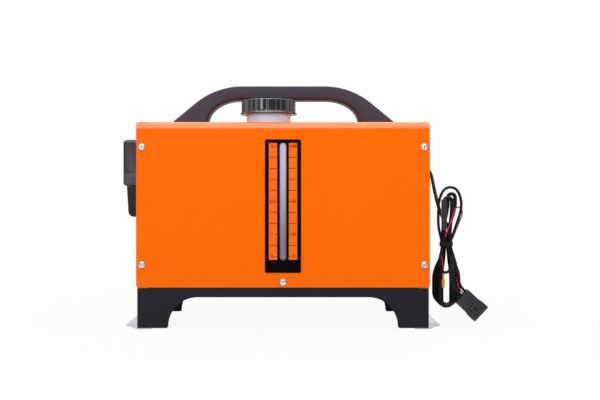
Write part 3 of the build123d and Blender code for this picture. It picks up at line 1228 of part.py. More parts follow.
def display_button(y):
    """Round key that stands a little proud of the box, with a flange behind the wall."""
    inside = DISPLAY_FACE + DISPLAY_WALL
    key = rod_x(DISPLAY_FACE - BUTTON_PROUD, inside + BUTTON_FLANGE, y, BUTTON_Z, BUTTON_RADIUS)
    key = chamfer(key.edges().group_by(Axis.X)[0], BUTTON_EDGE)
    return key + rod_x(inside, inside + BUTTON_FLANGE, y, BUTTON_Z,
                       BUTTON_RADIUS + BUTTON_FLANGE_WIDER)


# ---------------------------------------------------------------- cables
def cable_gland():
    """Tapered rubber strain relief with a groove that grips the end panel."""
    radius = GLAND_RADIUS - GLAND_LIP
    lip = rod_x(END_IN - GLAND_LIP, END_IN, GLAND_Y, GLAND_Z, GLAND_RADIUS)
    waist = rod_x(END_IN - 1, END_OUT + 1, GLAND_Y, GLAND_Z, radius - HOLE_GAP / 2)
    nose = Pos(END_OUT + GLAND_PROUD / 2, GLAND_Y, GLAND_Z) * Rot(0, 90, 0) * Cone(
        GLAND_RADIUS, GLAND_NOSE_RADIUS, GLAND_PROUD)
    bore = rod_x(END_IN - 3, END_OUT - 1, GLAND_Y, GLAND_Z, CABLE_DIAMETER / 2)
    return lip + waist + nose - bore


def hank_start():
    return (WAIST_X + WAIST_HALF, HANK_REAR_Y, WAIST_Z + WAIST_STRAIGHT + CABLE_DIAMETER)


def power_cable():
    """From the gland down and forward to the hank's first strand."""
    x, y, z = hank_start()
    points = [(GLAND_FACE, GLAND_Y, GLAND_Z), (206.6, GLAND_Y, GLAND_Z), (212.2, 44.4, 213.0),
              (215.6, 42.8, 207.4), (217.4, 38.0, 197.0), (219.0, 27.0, 179.0),
              (222.5, 13.0, 156.0), (227.5, 2.5, 141.5), (x, y, z + 9.0), (x, y, z)]
    return tube_along("power_cable", points, CABLE_DIAMETER)


def s_bend(start, shift_x, shift_y, rise):
    """Two equal arcs that carry a strand sideways while it runs up or down."""
    mid = (start[0] + shift_x / 2, start[1] + shift_y / 2, start[2] + rise / 2)
    end = (start[0] + shift_x, start[1] + shift_y, start[2] + rise)
    heading = (0, 0, 1 if rise > 0 else -1)
    first = TangentArc(Vector(*start), Vector(*mid), tangent=heading)
    second = TangentArc(Vector(*mid), Vector(*end), tangent=first % 1)
    return [first, second], end


def straight(start, rise):
    end = (start[0], start[1], start[2] + rise)
    return [Line(start, end)], end


def half_turn(start, shift_x, up):
    """Half circle over the top or under the bottom of a loop."""
    radius = abs(shift_x) / 2
    mid = (start[0] + shift_x / 2, start[1], start[2] + (radius if up else -radius))
    end = (start[0] + shift_x, start[1], start[2])
    return [ThreePointArc(start, mid, end)], end


def hank_path():
    """Loops that lie the same way: each strand draws in at the waist, spreads again
    to its fold, and steps one place forward, leaning a little, on the way to the upper fold."""
    edges = []
    at = hank_start()
    right_x = WAIST_X + WAIST_HALF
    left_x = WAIST_X - WAIST_HALF
    low_x = HANK_LOW_X
    top_x = HANK_TOP_X

    def add(piece):
        new_edges, end = piece
        edges.extend(new_edges)
        return end

    for top_half, low_half in zip(HANK_TOP_HALF, HANK_LOW_HALF):
        low_turn = HANK_LOW_Z + low_half
        top_turn = HANK_TOP_Z - top_half
        at = add(straight(at, WAIST_Z - WAIST_STRAIGHT - at[2]))
        at = add(s_bend(at, low_x + low_half - right_x, 0, -HANK_SPREAD))
        at = add(straight(at, low_turn - at[2]))
        at = add(half_turn(at, -2 * low_half, False))
        at = add(straight(at, WAIST_Z - WAIST_STRAIGHT - HANK_SPREAD - at[2]))
        at = add(s_bend(at, left_x - (low_x - low_half), 0, HANK_SPREAD))
        at = add(straight(at, 2 * WAIST_STRAIGHT))
        climb = top_turn - 1 - at[2]
        top_x += HANK_LEAN
        at = add(s_bend(at, top_x - top_half - left_x, -HANK_STEP, climb))
        low_x += HANK_LEAN
        left_x += HANK_LEAN
        right_x += HANK_LEAN
        at = add(straight(at, 1))
        at = add(half_turn(at, 2 * top_half, True))
        at = add(straight(at, -1))
        at = add(s_bend(at, right_x - (top_x + top_half), 0, WAIST_Z + WAIST_STRAIGHT - at[2]))
    at = add(straight(at, -2 * WAIST_STRAIGHT))
    at = add(s_bend(at, low_x + HANK_LOW_HALF[1] - right_x, 0, -HANK_LAST_SPREAD))
    add(straight(at, -HANK_END_LENGTH))
    return Wire(edges)


def least_self_gap(path, diameter):
    """Least clear gap between strands, from points a millimetre or two apart."""
    count = int(path.length / 2)
    points = [path @ (i / count) for i in range(count + 1)]
    apart = int(3 * diameter)
    least = path.length
    for i, point in enumerate(points):
        for other in points[i + apart:]:
            least = min(least, (point - other).length)
    return least - diameter


def cable_hank():
    path = hank_path()
    section = Plane(origin=path @ 0, z_dir=path % 0) * Circle(CABLE_DIAMETER / 2)
    tube = sweep(section, path=path)
    ideal = pi * CABLE_DIAMETER ** 2 / 4 * path.length
    print(f"cable_hank: length {path.length:.0f}, least gap"
          f" {least_self_gap(path, CABLE_DIAMETER):.2f}, volume ratio {tube.volume / ideal:.4f}")
    return tube


def connector_lead():
    """Tail of the power cable, from the hank's last strand into the connector."""
    end = hank_path() @ 1
    plug_x, plug_y, plug_z = PLUG_END
    back = (plug_x - end.X) / PLUG_ALONG[0]
    points = [(end.X, end.Y, end.Z), (end.X, end.Y, plug_z - back * PLUG_ALONG[2]), PLUG_END]
    return tube_along("connector_lead", points, CABLE_DIAMETER)


def plug_point(along, across, y=0.0):
    """A point measured from the middle of the connector's cable end."""
    return (PLUG_END[0] + along * PLUG_ALONG[0] + across * PLUG_ACROSS[0], PLUG_END[1] + y,
            PLUG_END[2] + along * PLUG_ALONG[2] + across * PLUG_ACROSS[2])


def power_connector():
    """Square two-pole housing with a step near its mouth and a latch on its face."""
    place = Pos(*plug_point(PLUG_LENGTH / 2, 0)) * Rot(0, -PLUG_ANGLE, 0)
    body = Box(PLUG_LENGTH, PLUG_THICKNESS, PLUG_WIDTH - 2 * PLUG_FLANGE)
    body = fillet(body.edges().filter_by(Axis.X), PLUG_CORNER)
    step_long = PLUG_LENGTH - PLUG_FLANGE_AT
    step = Pos(PLUG_LENGTH / 2 - step_long / 2, 0, 0) * Box(
        step_long, PLUG_THICKNESS + 2 * PLUG_FLANGE, PLUG_WIDTH)
    step = fillet(step.edges().filter_by(Axis.X), PLUG_CORNER)
    mouth = Pos(PLUG_LENGTH / 2, 0, 0) * Box(
        2 * PLUG_MOUTH, PLUG_THICKNESS - 2 * PLUG_WALL, PLUG_WIDTH - 2 * (PLUG_FLANGE + PLUG_WALL))
    latch_x = PLUG_LENGTH / 2 - step_long
    latch = Pos(latch_x, -PLUG_THICKNESS / 2, 0) * Box(
        LATCH_LENGTH, 2 * (PLUG_FLANGE + LATCH_PROUD), LATCH_WIDTH)
    slot = Pos(latch_x + 1, -PLUG_THICKNESS / 2 - PLUG_FLANGE - LATCH_PROUD, 0) * Box(
        LATCH_SLOT[0], 2 * (PLUG_FLANGE + LATCH_PROUD), LATCH_SLOT[1])
    return place * (body + step + latch - slot - mouth)


def hank_tie():
    """Strap round the waist of the hank."""
    half = WAIST_HALF + CABLE_DIAMETER / 2 + TIE_SIDE_GAP
    rear = HANK_REAR_Y + CABLE_DIAMETER / 2 + TIE_GAP
    front = LEAD_Y - LEAD_DIAMETER / 2 - TIE_GAP
    lean = HANK_LEAN / HANK_STEP
    rear_x = WAIST_X + lean * (HANK_REAR_Y - rear)
    front_x = WAIST_X + lean * (HANK_REAR_Y - front)
    outline = Polyline((rear_x - half, rear), (rear_x + half, rear), (front_x + half, front),
                       (front_x - half, front), close=True)
    inner = make_face(outline)
    inner = fillet(inner.vertices(), CABLE_DIAMETER / 2)
    outer = offset(inner, TIE_THICKNESS)
    return Pos(0, 0, WAIST_Z - TIE_WIDTH / 2) * extrude(outer - inner, TIE_WIDTH)


def sensor_lead():
    """Thin lead: out of the connector, up through the tie, over in one wide loop,
    down through the tie, round a low fold and up into the tucked plug."""
    start = plug_point(0, LEAD_OFFSET)
    first = plug_point(-LEAD_IN, LEAD_OFFSET)
    y = LEAD_Y
    points = [start, first, (240.8, y + 2, 64.0), (236.2, y, 87.0), (228.0, y, 110.0),
              (234.0, y, 126.0), (240.5, y, 145.0), (244.4, y, 158.0), (244.6, y, 172.0),
              (237.5, y, 188.0), (222.0, y, 188.4), (213.6, y, 172.0), (212.8, y, 150.0),
              (212.9, y, 134.0), (216.8, y, 118.0), (218.9, y, 106.0), (215.6, y, 95.0),
              (214.0, y, 84.5), (216.0, y, 74.8), (222.2, y, 70.2), (228.6, y, 73.8),
              (231.0, y, 83.5), (228.4, y, 98.0), (222.6, y, 114.0), (TUCK_X, TUCK_Y, 121.0),
              (TUCK_X, TUCK_Y, TUCK_BOTTOM)]
    return tube_along("sensor_lead", points, LEAD_DIAMETER)


def lead_plug():
    """Slim square-ended plug tucked into the top of the hank."""
    body = block(TUCK_X - TUCK_WIDTH / 2, TUCK_X + TUCK_WIDTH / 2,
                 TUCK_Y - TUCK_DEPTH / 2, TUCK_Y + TUCK_DEPTH / 2, TUCK_BOTTOM, TUCK_TOP)
    return fillet(body.edges().filter_by(Axis.Z), 1)


def red_wire():
    """Bare wire: out of the connector, up through the tie, one small loop, and back
    down through the tie to its capped end."""
    aside = PLUG_THICKNESS / 3
    start = plug_point(0, WIRE_OFFSET, aside)
    first = plug_point(-LEAD_IN, WIRE_OFFSET, aside)
    y = WIRE_Y
    x = WIRE_CAP_X
    points = [start, first, (240.6, -27.5, 64.0), (236.8, y, 87.0), (229.6, y, 110.0),
              (234.7, y, 121.0), (240.0, y, 135.0), (244.8, y, 146.0), (246.8, y, 152.5),
              (245.8, y, 158.6), (241.4, y, 161.6), (236.8, y, 158.6), (233.8, y, 151.0),
              (230.4, y, 140.0), (226.8, y, 127.0), (224.2, y, 112.0), (220.9, y, 94.0),
              (x, y, 82.0), (x, y, CAP_END_TOP)]
    return tube_along("red_wire", points, WIRE_DIAMETER)


def wire_end_cap():
    """Sleeve with a slim neck round the wire and a wider barrel below it."""
    neck_bottom = CAP_END_TOP - CAP_END_NECK
    neck = rod_z(WIRE_CAP_X, WIRE_Y, neck_bottom - 1, CAP_END_TOP, CAP_END_NECK_RADIUS)
    barrel = rod_z(WIRE_CAP_X, WIRE_Y, CAP_END_TOP - CAP_END_LENGTH, neck_bottom, CAP_END_RADIUS)
    return neck + fillet(barrel.edges(), CAP_END_RADIUS / 3)


# ---------------------------------------------------------------- build
PIECES = {
    "base_frame": base_frame,
    "foot_plate_left": lambda: foot_plate(-1),
    "foot_plate_right": lambda: foot_plate(1),
    "foot_rivets": foot_rivets,
    "cover": cover,
    "left_end_panel": left_end_panel,
    "right_end_panel": right_end_panel,
    "cover_screws": cover_screws,
    "gauge_label": gauge_label,
    "carry_handle": carry_handle,
    "handle_screws": handle_screws,
    "fuel_tank": fuel_tank,
    "tank_outlet_fitting": tank_outlet_fitting,
    "cap_seal": cap_seal,
    "fuel_cap": fuel_cap,
    "heat_shield": heat_shield,
    "heater_casing_lower": heater_casing_lower,
    "heater_casing_upper": heater_casing_upper,
    "outlet_hood": outlet_hood,
    "heat_exchanger": heat_exchanger,
    "burner": burner,
    "glow_plug": glow_plug,
    "blower_housing": blower_housing,
    "blower_motor": blower_motor,
    "motor_shaft": motor_shaft,
    "air_fan": air_fan,
    "combustion_impeller": combustion_impeller,
    "exhaust_stub": exhaust_stub,
    "combustion_air_stub": combustion_air_stub,
    "heater_gasket": heater_gasket,
    "heater_bolts": heater_bolts,
    "outlet_ring": outlet_ring,
    "outlet_louvre": outlet_louvre,
    "intake_grille": intake_grille,
    "fuel_pump": fuel_pump,
    "pump_mount": pump_mount,
    "fuel_filter": fuel_filter,
    "fuel_hose_tank": fuel_hose_tank,
    "fuel_hose_pump": fuel_hose_pump,
    "fuel_hose_heater": fuel_hose_heater,
    "control_board": control_board,
    "display_cradle": display_cradle,
    "display_housing": display_housing,
    "display_lens": display_lens,
    "display_board": display_board,
    "cable_gland": cable_gland,
    "power_cable": power_cable,
    "cable_hank": cable_hank,
    "connector_lead": connector_lead,
    "hank_tie": hank_tie,
    "power_connector": power_connector,
    "sensor_lead": sensor_lead,
    "lead_plug": lead_plug,
    "red_wire": red_wire,
    "wire_end_cap": wire_end_cap,
}
for button_name, button_y in zip(BUTTONS, button_places()):
    PIECES[button_name] = lambda y=button_y: display_button(y)


def main():
    os.makedirs("parts", exist_ok=True)
    for name, make in PIECES.items():
        shape = make()
        if isinstance(shape, list):
            shape = Compound(children=[solid for item in shape for solid in item.solids()])
        export_step(shape, f"parts/{name}.step")


main()
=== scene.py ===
"""The look of a portable all-in-one air heater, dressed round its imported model.

Metres, except where a class says millimetres. The origin is the bottom centre on the floor,
+X is to the right of someone who faces the level gauge, +Y is away from them and +Z is up.
"""

from __future__ import annotations

import json
import logging
import math
from dataclasses import dataclass, replace
from enum import Enum
from functools import lru_cache
from typing import Any, Iterable, Protocol, Sequence, Union

import bmesh
import bpy
import numpy as np
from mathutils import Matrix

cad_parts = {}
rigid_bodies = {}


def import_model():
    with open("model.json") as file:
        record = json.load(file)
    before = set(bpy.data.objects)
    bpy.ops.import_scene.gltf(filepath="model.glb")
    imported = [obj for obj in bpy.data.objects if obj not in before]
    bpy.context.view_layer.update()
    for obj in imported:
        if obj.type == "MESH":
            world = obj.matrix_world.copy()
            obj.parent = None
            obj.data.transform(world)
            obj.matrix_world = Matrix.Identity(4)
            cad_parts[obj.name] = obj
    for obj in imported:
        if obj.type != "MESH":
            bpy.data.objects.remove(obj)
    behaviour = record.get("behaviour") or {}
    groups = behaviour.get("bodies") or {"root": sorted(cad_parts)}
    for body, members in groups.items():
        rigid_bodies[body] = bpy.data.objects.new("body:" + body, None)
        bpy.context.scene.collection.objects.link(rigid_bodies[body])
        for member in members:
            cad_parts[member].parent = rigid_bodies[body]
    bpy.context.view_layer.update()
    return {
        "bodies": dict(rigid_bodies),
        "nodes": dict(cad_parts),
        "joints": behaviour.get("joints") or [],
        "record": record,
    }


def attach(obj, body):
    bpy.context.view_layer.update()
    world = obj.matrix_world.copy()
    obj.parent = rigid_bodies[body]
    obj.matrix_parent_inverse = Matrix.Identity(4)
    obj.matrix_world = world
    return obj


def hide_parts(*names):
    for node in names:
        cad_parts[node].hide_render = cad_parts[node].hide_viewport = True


LOG = logging.getLogger("heater")
MM = 0.001
MERGE_POLES = 1e-7  # metres between points of a pole that become one
MERGE_SOLID = 2e-6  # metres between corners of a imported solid's triangles
FLAT_ANGLE = math.radians(0.4)  # between triangles that lie in one face
PLUG_END = (246.0, -28.0, 38.4)  # millimetres; middle of the connector's cable end
PLUG_ANGLE = -43.3  # degrees from +X towards +Z, the way that the connector points
Colour = tuple[float, float, float]
Point = tuple[float, float, float]
Term = Union["Value", float]


class Body(str, Enum):
    """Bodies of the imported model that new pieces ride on."""

    CABINET = "cabinet"
    CAP = "cap"
    LOUVRE = "louvre"
    POWER_KEY = "power_key"
    DOWN_KEY = "down_key"
    UP_KEY = "up_key"
    SET_KEY = "set_key"


class Axis(Enum):
    """Axes of the shared frame, by their place in a vector."""

    X = 0
    Y = 1
    Z = 2


class Lay(Enum):
    """Ways that a pattern's coordinates lie: on the object, along a cord, or by direction."""

    OBJECT = "Object"
    CORD = "UV"
    DIRECTION = "Generated"


class Ray(Enum):
    """Kinds of rays that a material or the world can tell apart."""

    CAMERA = "Is Camera Ray"
    GLOSSY = "Is Glossy Ray"
    THROUGH_GLASS = "Is Transmission Ray"


class Ramp(Enum):
    """Ways that a value runs from one end of its range to the other."""

    STRAIGHT = "LINEAR"
    SMOOTH = "SMOOTHSTEP"


# ------------------------------------------------------------------ shader sketches
@dataclass(frozen=True)
class Noise:
    """Smooth noise over an object: how fine it is, and how a finish uses it.

    Scale is in features a metre, and stretch, if any, multiplies it along each axis. Cut
    is the edge and width of the step that makes patches of it, and strength their share.
    """

    scale: float
    detail: float = 2.0
    stretch: Point | None = None
    cut: tuple[float, float] = (0.5, 0.2)
    strength: float = 1.0


@dataclass(frozen=True)
class Value:
    """A number or colour that varies over a surface, held as a node's output socket."""

    tree: "Tree"
    socket: bpy.types.NodeSocket

    def __add__(self, other: Term) -> "Value":
        """Sum."""
        return self.tree.math("ADD", self, other)

    __radd__ = __add__

    def __sub__(self, other: Term) -> "Value":
        """Difference."""
        return self.tree.math("SUBTRACT", self, other)

    def __rsub__(self, other: Term) -> "Value":
        """Difference, reflected."""
        return self.tree.math("SUBTRACT", other, self)

    def __mul__(self, other: Term) -> "Value":
        """Product."""
        return self.tree.math("MULTIPLY", self, other)

    __rmul__ = __mul__

    def __abs__(self) -> "Value":
        """Size without its sign."""
        return self.tree.math("ABSOLUTE", self)

    def most(self, other: Term) -> "Value":
        """The larger of two."""
        return self.tree.math("MAXIMUM", self, other)

    def ripple(self, rate: float) -> "Value":
        """A sine between 0 and 1 with that many crests for each unit."""
        return self.tree.math("SINE", self * (rate * math.tau)) * 0.5 + 0.5

    def beyond(self, half: float) -> "Value":
        """How far a centred measure lies beyond half a width; negative inside it."""
        return abs(self) - half

    def step(self, edge: float, width: float) -> "Value":
        """A smooth step about an edge, from 0 below it to 1 above it, over the width."""
        return self.tree.ranged(self, edge - width / 2, edge + width / 2)

    def band(self, low: float, high: float, width: float) -> "Value":
        """1 between two edges and 0 outside them, smooth over the width."""
        return self.step(low, width) * (1.0 - self.step(high, width))

    def patches(self, noise: Noise) -> "Value":
        """A noise's own value cut into its patches, at their strength."""
        return self.step(*noise.cut) * noise.strength


class Tree:
    """A node tree, written as expressions."""

    def __init__(self, graph: bpy.types.NodeTree) -> None:
        """Keeps Blender's own tree."""
        self.graph = graph

    def node(self, kind: str, settings: dict[str, Any], terms: dict[str, Any],
             output: str) -> Value:
        """Adds one node.

        Args:
            kind: The node's type name.
            settings: The node's own settings, set first.
            terms: Values or links of its inputs, by socket identifier.
            output: Identifier of the output that is wanted.

        Returns:
            The output as a value.
        """
        node = self.graph.nodes.new(kind)
        for key, setting in settings.items():
            setattr(node, key, setting)
        for key, term in terms.items():
            self.plug(term, next(s for s in node.inputs if s.identifier == key))
        return Value(self, next(s for s in node.outputs if s.identifier == output))

    def plug(self, term: Any, socket: bpy.types.NodeSocket) -> None:
        """Links a value to a socket, or sets the socket to a constant.

        Args:
            term: A value, number, vector or colour.
            socket: The input that takes it.
        """
        if isinstance(term, Value):
            self.graph.links.new(term.socket, socket)
        elif isinstance(term, tuple) and len(term) == 3 and socket.type == "RGBA":
            socket.default_value = (*term, 1.0)
        else:
            socket.default_value = term

    def math(self, operation: str, *terms: Term) -> Value:
        """Adds one Math node.

        Args:
            operation: The node's operation.
            terms: Its one or two terms.

        Returns:
            The result.
        """
        keys = ("Value", "Value_001")
        return self.node("ShaderNodeMath", {"operation": operation},
                         dict(zip(keys, terms)), "Value")

    def ranged(self, value: Value, low: float, high: float, least: float = 0.0,
               ramp: Ramp = Ramp.SMOOTH) -> Value:
        """Runs from least to 1 while a value runs from low to high, and holds outside.

        Args:
            value: The value.
            low: Where the result is least.
            high: Where the result is 1.
            least: The result's lower end.
            ramp: How it runs between them.

        Returns:
            The result.
        """
        return self.node("ShaderNodeMapRange", {"interpolation_type": ramp.value},
                         {"Value": value, "From Min": low, "From Max": high,
                          "To Min": least}, "Result")

    def place(self, lay: Lay) -> Value:
        """Coordinates that lie one of the ways."""
        return self.node("ShaderNodeTexCoord", {}, {}, lay.value)

    def parts(self, vector: Value) -> tuple[Value, Value, Value]:
        """A vector's parts along X, Y and Z."""
        first = self.node("ShaderNodeSeparateXYZ", {}, {"Vector": vector}, Axis.X.name)
        return tuple(Value(self, socket) for socket in first.socket.node.outputs)

    def ray(self, kind: Ray) -> Value:
        """1 for rays of one kind."""
        return self.node("ShaderNodeLightPath", {}, {}, kind.value)

    def seen(self) -> Value:
        """1 for rays from the camera, and for those by way of gloss or glass."""
        return self.ray(Ray.CAMERA).most(self.ray(Ray.GLOSSY)).most(
            self.ray(Ray.THROUGH_GLASS))


class Sketch(Tree):
    """A material with one Principled shader, on its object's own metres."""

    def __init__(self, name: str) -> None:
        """Starts the material.

        Args:
            name: Name of the material.
        """
        self.material = bpy.data.materials.new(name)
        self.material.use_nodes = True
        super().__init__(self.material.node_tree)
        self.shader = self.graph.nodes["Principled BSDF"]
        self.spot = self.place(Lay.OBJECT)

    def axes(self) -> tuple[Value, Value, Value]:
        """The place on the object along X, Y and Z, in metres."""
        return self.parts(self.spot)

    def noise(self, noise: Noise) -> Value:
        """Draws a noise over the object.

        Args:
            noise: The noise.

        Returns:
            Its value, about a half and between 0 and 1.
        """
        spot = self.spot
        if noise.stretch:
            spot = self.node("ShaderNodeVectorMath", {"operation": "MULTIPLY"},
                             {"Vector": spot, "Vector_001": noise.stretch}, "Vector")
        return self.node("ShaderNodeTexNoise", {},
                         {"Vector": spot, "Scale": noise.scale, "Detail": noise.detail},
                         "Fac")

    def cells(self, scale: float) -> Value:
        """Distance to the nearest of scattered points."""
        return self.node("ShaderNodeTexVoronoi", {}, {"Vector": self.spot, "Scale": scale},
                         "Distance")

    def tint(self, mask: Term, base: Any, over: Any) -> Value:
        """Lays one colour over another.

        Args:
            mask: How much of the upper colour shows, from 0 to 1.
            base: The lower colour.
            over: The upper colour.

        Returns:
            The mixed colour.
        """
        return self.node("ShaderNodeMix", {"data_type": "RGBA"},
                         {"Factor_Float": mask, "A_Color": base, "B_Color": over},
                         "Result_Color")

    def uneven(self, level: float, *swings: tuple[Value, float]) -> Value:
        """A level that patterns of 0 to 1 move up and down.

        The formula is the level plus, for each pattern, its swing times the pattern less
        a half.

        Args:
            level: The middle level.
            swings: Patterns, each with its whole swing.

        Returns:
            The level as it varies.
        """
        total: Term = level - sum(swing for _, swing in swings) / 2
        for pattern, swing in swings:
            total = pattern * swing + total
        return total

    def feed(self, **terms: Any) -> None:
        """Sets or links inputs of the shader; an underscore stands for a space."""
        for key, term in terms.items():
            self.plug(term, self.shader.inputs[key.replace("_", " ")])

    def relief(self, height: Value, depth: float) -> None:
        """Bumps the surface by a height of that depth in metres."""
        bump = self.node("ShaderNodeBump", {}, {"Height": height, "Distance": depth}, "Normal")
        self.feed(Normal=bump)


def darker(colour: Colour, factor: float) -> Colour:
    """A colour with each part multiplied by a factor."""
    return tuple(part * factor for part in colour)


# ------------------------------------------------------------------ finishes
class Finish(Protocol):
    """A finish that can mix its own material."""

    def mix(self) -> bpy.types.Material:
        """The finish as a material."""


@lru_cache(maxsize=None)
def mixed(finish: Finish) -> bpy.types.Material:
    """The finish's material, mixed once."""
    return finish.mix()


@dataclass(frozen=True)
class PowderCoat:
    """Baked powder paint on sheet steel: orange peel, cloudy tone and rubbed edges."""

    name: str
    colour: Colour
    rubbed: Colour
    roughness: float
    end_x: float
    low_z: float
    peel: float = 0.022 * MM
    specular: float = 0.15
    coat: float = 0.0
    coat_spread: float = 0.08
    coat_roughness: float = 0.22
    bend_low: float = 265.5 * MM
    bend_high: float = 275.2 * MM
    bend_blur: float = 1.0 * MM
    rub_width: float = 0.7 * MM
    rub_blur: float = 0.8 * MM
    cloud: Noise = Noise(11.0, 3.0, strength=0.5)
    grain: Noise = Noise(850.0, 1.0, strength=0.8)
    speck: Noise = Noise(2600.0, 1.0, cut=(0.64, 0.1), strength=0.25)
    wear: Noise = Noise(220.0, 3.0, cut=(0.52, 0.16), strength=0.55)
    cloud_shade: float = 0.93
    cloud_matt: float = 0.08
    speck_shade: float = 0.8
    speck_matt: float = 0.06

    def mix(self) -> bpy.types.Material:
        """Cloudy base, fine peel, a thin rubbed line at the sheet's free edges, and a
        fuller gloss coat where the paint gathers on the upper bends.

        Returns:
            The material.
        """
        sketch = Sketch(self.name)
        x, _, z = sketch.axes()
        cloud, grain, speck = map(sketch.noise, (self.cloud, self.grain, self.speck))
        edge = abs(x).step(self.end_x - self.rub_width, self.rub_blur)
        edge = edge.most(1.0 - z.step(self.low_z + self.rub_width, self.rub_blur))
        worn = edge * sketch.noise(self.wear).patches(self.wear)
        colour = sketch.tint(cloud * self.cloud.strength, self.colour,
                             darker(self.colour, self.cloud_shade))
        colour = sketch.tint(speck.patches(self.speck), colour,
                             darker(self.colour, self.speck_shade))
        colour = sketch.tint(worn, colour, self.rubbed)
        bend = z.band(self.bend_low, self.bend_high, self.bend_blur)
        gathered = bend * ((1.0 - self.coat_spread) * self.coat)
        sketch.feed(Base_Color=colour, Specular_IOR_Level=self.specular,
                    Coat_Weight=gathered + self.coat_spread * self.coat,
                    Coat_Roughness=self.coat_roughness,
                    Roughness=sketch.uneven(self.roughness, (speck, self.speck_matt),
                                            (cloud, self.cloud_matt)))
        sketch.relief(grain * self.grain.strength + speck * (1.0 - self.grain.strength),
                      self.peel)
        return sketch.material


@dataclass(frozen=True)
class ZincPlate:
    """Bright zinc on steel: pale crystals, rolled streaks and small scuffs."""

    name: str
    colour: Colour = (0.57, 0.58, 0.605)
    roughness: float = 0.34
    crystal: float = 320.0
    crystal_strength: float = 0.5
    crystal_shade: float = 0.78
    streak: Noise = Noise(90.0, 3.0, (0.15, 3.0, 3.0), (0.55, 0.3), 0.3)
    streak_shade: float = 0.85
    streak_matt: float = 0.16
    streak_depth: float = 0.012 * MM
    scuff: Noise = Noise(140.0, 4.0, cut=(0.6, 0.12), strength=0.14)

    def mix(self) -> bpy.types.Material:
        """Crystals tint the metal, streaks run along X, scuffs roughen it.

        Returns:
            The material.
        """
        sketch = Sketch(self.name)
        crystals = sketch.cells(self.crystal)
        streaks, scuffs = map(sketch.noise, (self.streak, self.scuff))
        colour = sketch.tint(crystals * self.crystal_strength, self.colour,
                             darker(self.colour, self.crystal_shade))
        colour = sketch.tint(streaks.patches(self.streak), colour,
                             darker(self.colour, self.streak_shade))
        sketch.feed(Base_Color=colour, Metallic=1.0,
                    Roughness=sketch.uneven(self.roughness, (streaks, self.streak_matt))
                    + scuffs.patches(self.scuff))
        sketch.relief(streaks, self.streak_depth)
        return sketch.material


@dataclass(frozen=True)
class MouldedPlastic:
    """Injection-moulded plastic: spark-eroded grain, flow clouds and handling shine."""

    name: str
    colour: Colour
    roughness: float = 0.45
    grain: float = 1400.0
    depth: float = 0.02 * MM
    specular: float = 0.5
    flow: Noise = Noise(28.0, 3.0, (0.4, 1.0, 1.0), strength=0.6)
    flow_shade: float = 0.78
    flow_matt: float = 0.1
    grain_matt: float = 0.12
    handled: Noise = Noise(60.0, 4.0, cut=(0.62, 0.2), strength=0.2)
    handled_shade: float = 1.35
    handled_shine: float = 0.25

    def lined(self, sketch: Sketch, colour: Value) -> Value:
        """The colour as it is; finishes with lines of their own draw them here."""
        return colour

    def mix(self) -> bpy.types.Material:
        """Grain bumps the surface; flow clouds change tone and shine a little.

        Returns:
            The material.
        """
        sketch = Sketch(self.name)
        flow, grain = sketch.noise(self.flow), sketch.noise(Noise(self.grain))
        handled = sketch.noise(self.handled).patches(self.handled)
        colour = sketch.tint(flow * self.flow.strength, self.colour,
                             darker(self.colour, self.flow_shade))
        colour = sketch.tint(handled, colour, darker(self.colour, self.handled_shade))
        sketch.feed(Base_Color=self.lined(sketch, colour), Specular_IOR_Level=self.specular,
                    Roughness=sketch.uneven(self.roughness, (flow, self.flow_matt),
                                            (grain, self.grain_matt))
                    - handled * self.handled_shine)
        sketch.relief(grain, self.depth)
        return sketch.material


@dataclass(frozen=True)
class HousingPlastic(MouldedPlastic):
    """Moulded plastic of the display's box, with a painted highlight and painted shade round
    its side recesses.
    """

    middle_x: float = -206.85 * MM
    middle_z: float = 228.2 * MM
    half_x: float = 7.95 * MM
    half_z: float = 20.0 * MM
    side_y: float = 50.5 * MM
    side_blur: float = 1.0 * MM
    rim_at: float = 0.8 * MM
    line_in: float = -0.9 * MM
    line_out: float = 0.6 * MM
    rim_blur: float = 0.6 * MM
    line_blur: float = 0.5 * MM
    # the rim's tone is a painted highlight; the recess floor's and the line's tones are
    # painted shade
    rim_painted_highlight: float = 1.8
    recess_painted_shade: float = 0.75
    face_strength: float = 0.7
    line_painted_shade: float = 0.12
    line_strength: float = 0.9

    def lined(self, sketch: Sketch, colour: Value) -> Value:
        """Paints a highlight and shade round the recess, by a distance from its outline that
        is
        negative inside it: the larger of |x - middle| - half and |z - middle| - half.

        Args:
            sketch: The material's tree.
            colour: The plain plastic.

        Returns:
            The plastic with a painted highlight on the rim, painted shade on the recess floor
            and a dark line of painted shade between them.
        """
        x, y, z = sketch.axes()
        outside = (x - self.middle_x).beyond(self.half_x).most(
            (z - self.middle_z).beyond(self.half_z))
        side = abs(y).step(self.side_y, self.side_blur)
        rim = outside.step(self.rim_at, self.rim_blur)
        line = outside.band(self.line_in, self.line_out, self.line_blur)
        faced = side * self.face_strength
        # painted highlight on the recess's rounded rim
        colour = sketch.tint(rim * faced, colour, darker(self.colour, self.rim_painted_highlight))
        # painted shade on the recess floor
        colour = sketch.tint((1.0 - rim) * faced, colour,
                             darker(self.colour, self.recess_painted_shade))
        # painted shade along the recess's edge
        return sketch.tint(line * side * self.line_strength, colour,
                           darker(self.colour, self.line_painted_shade))


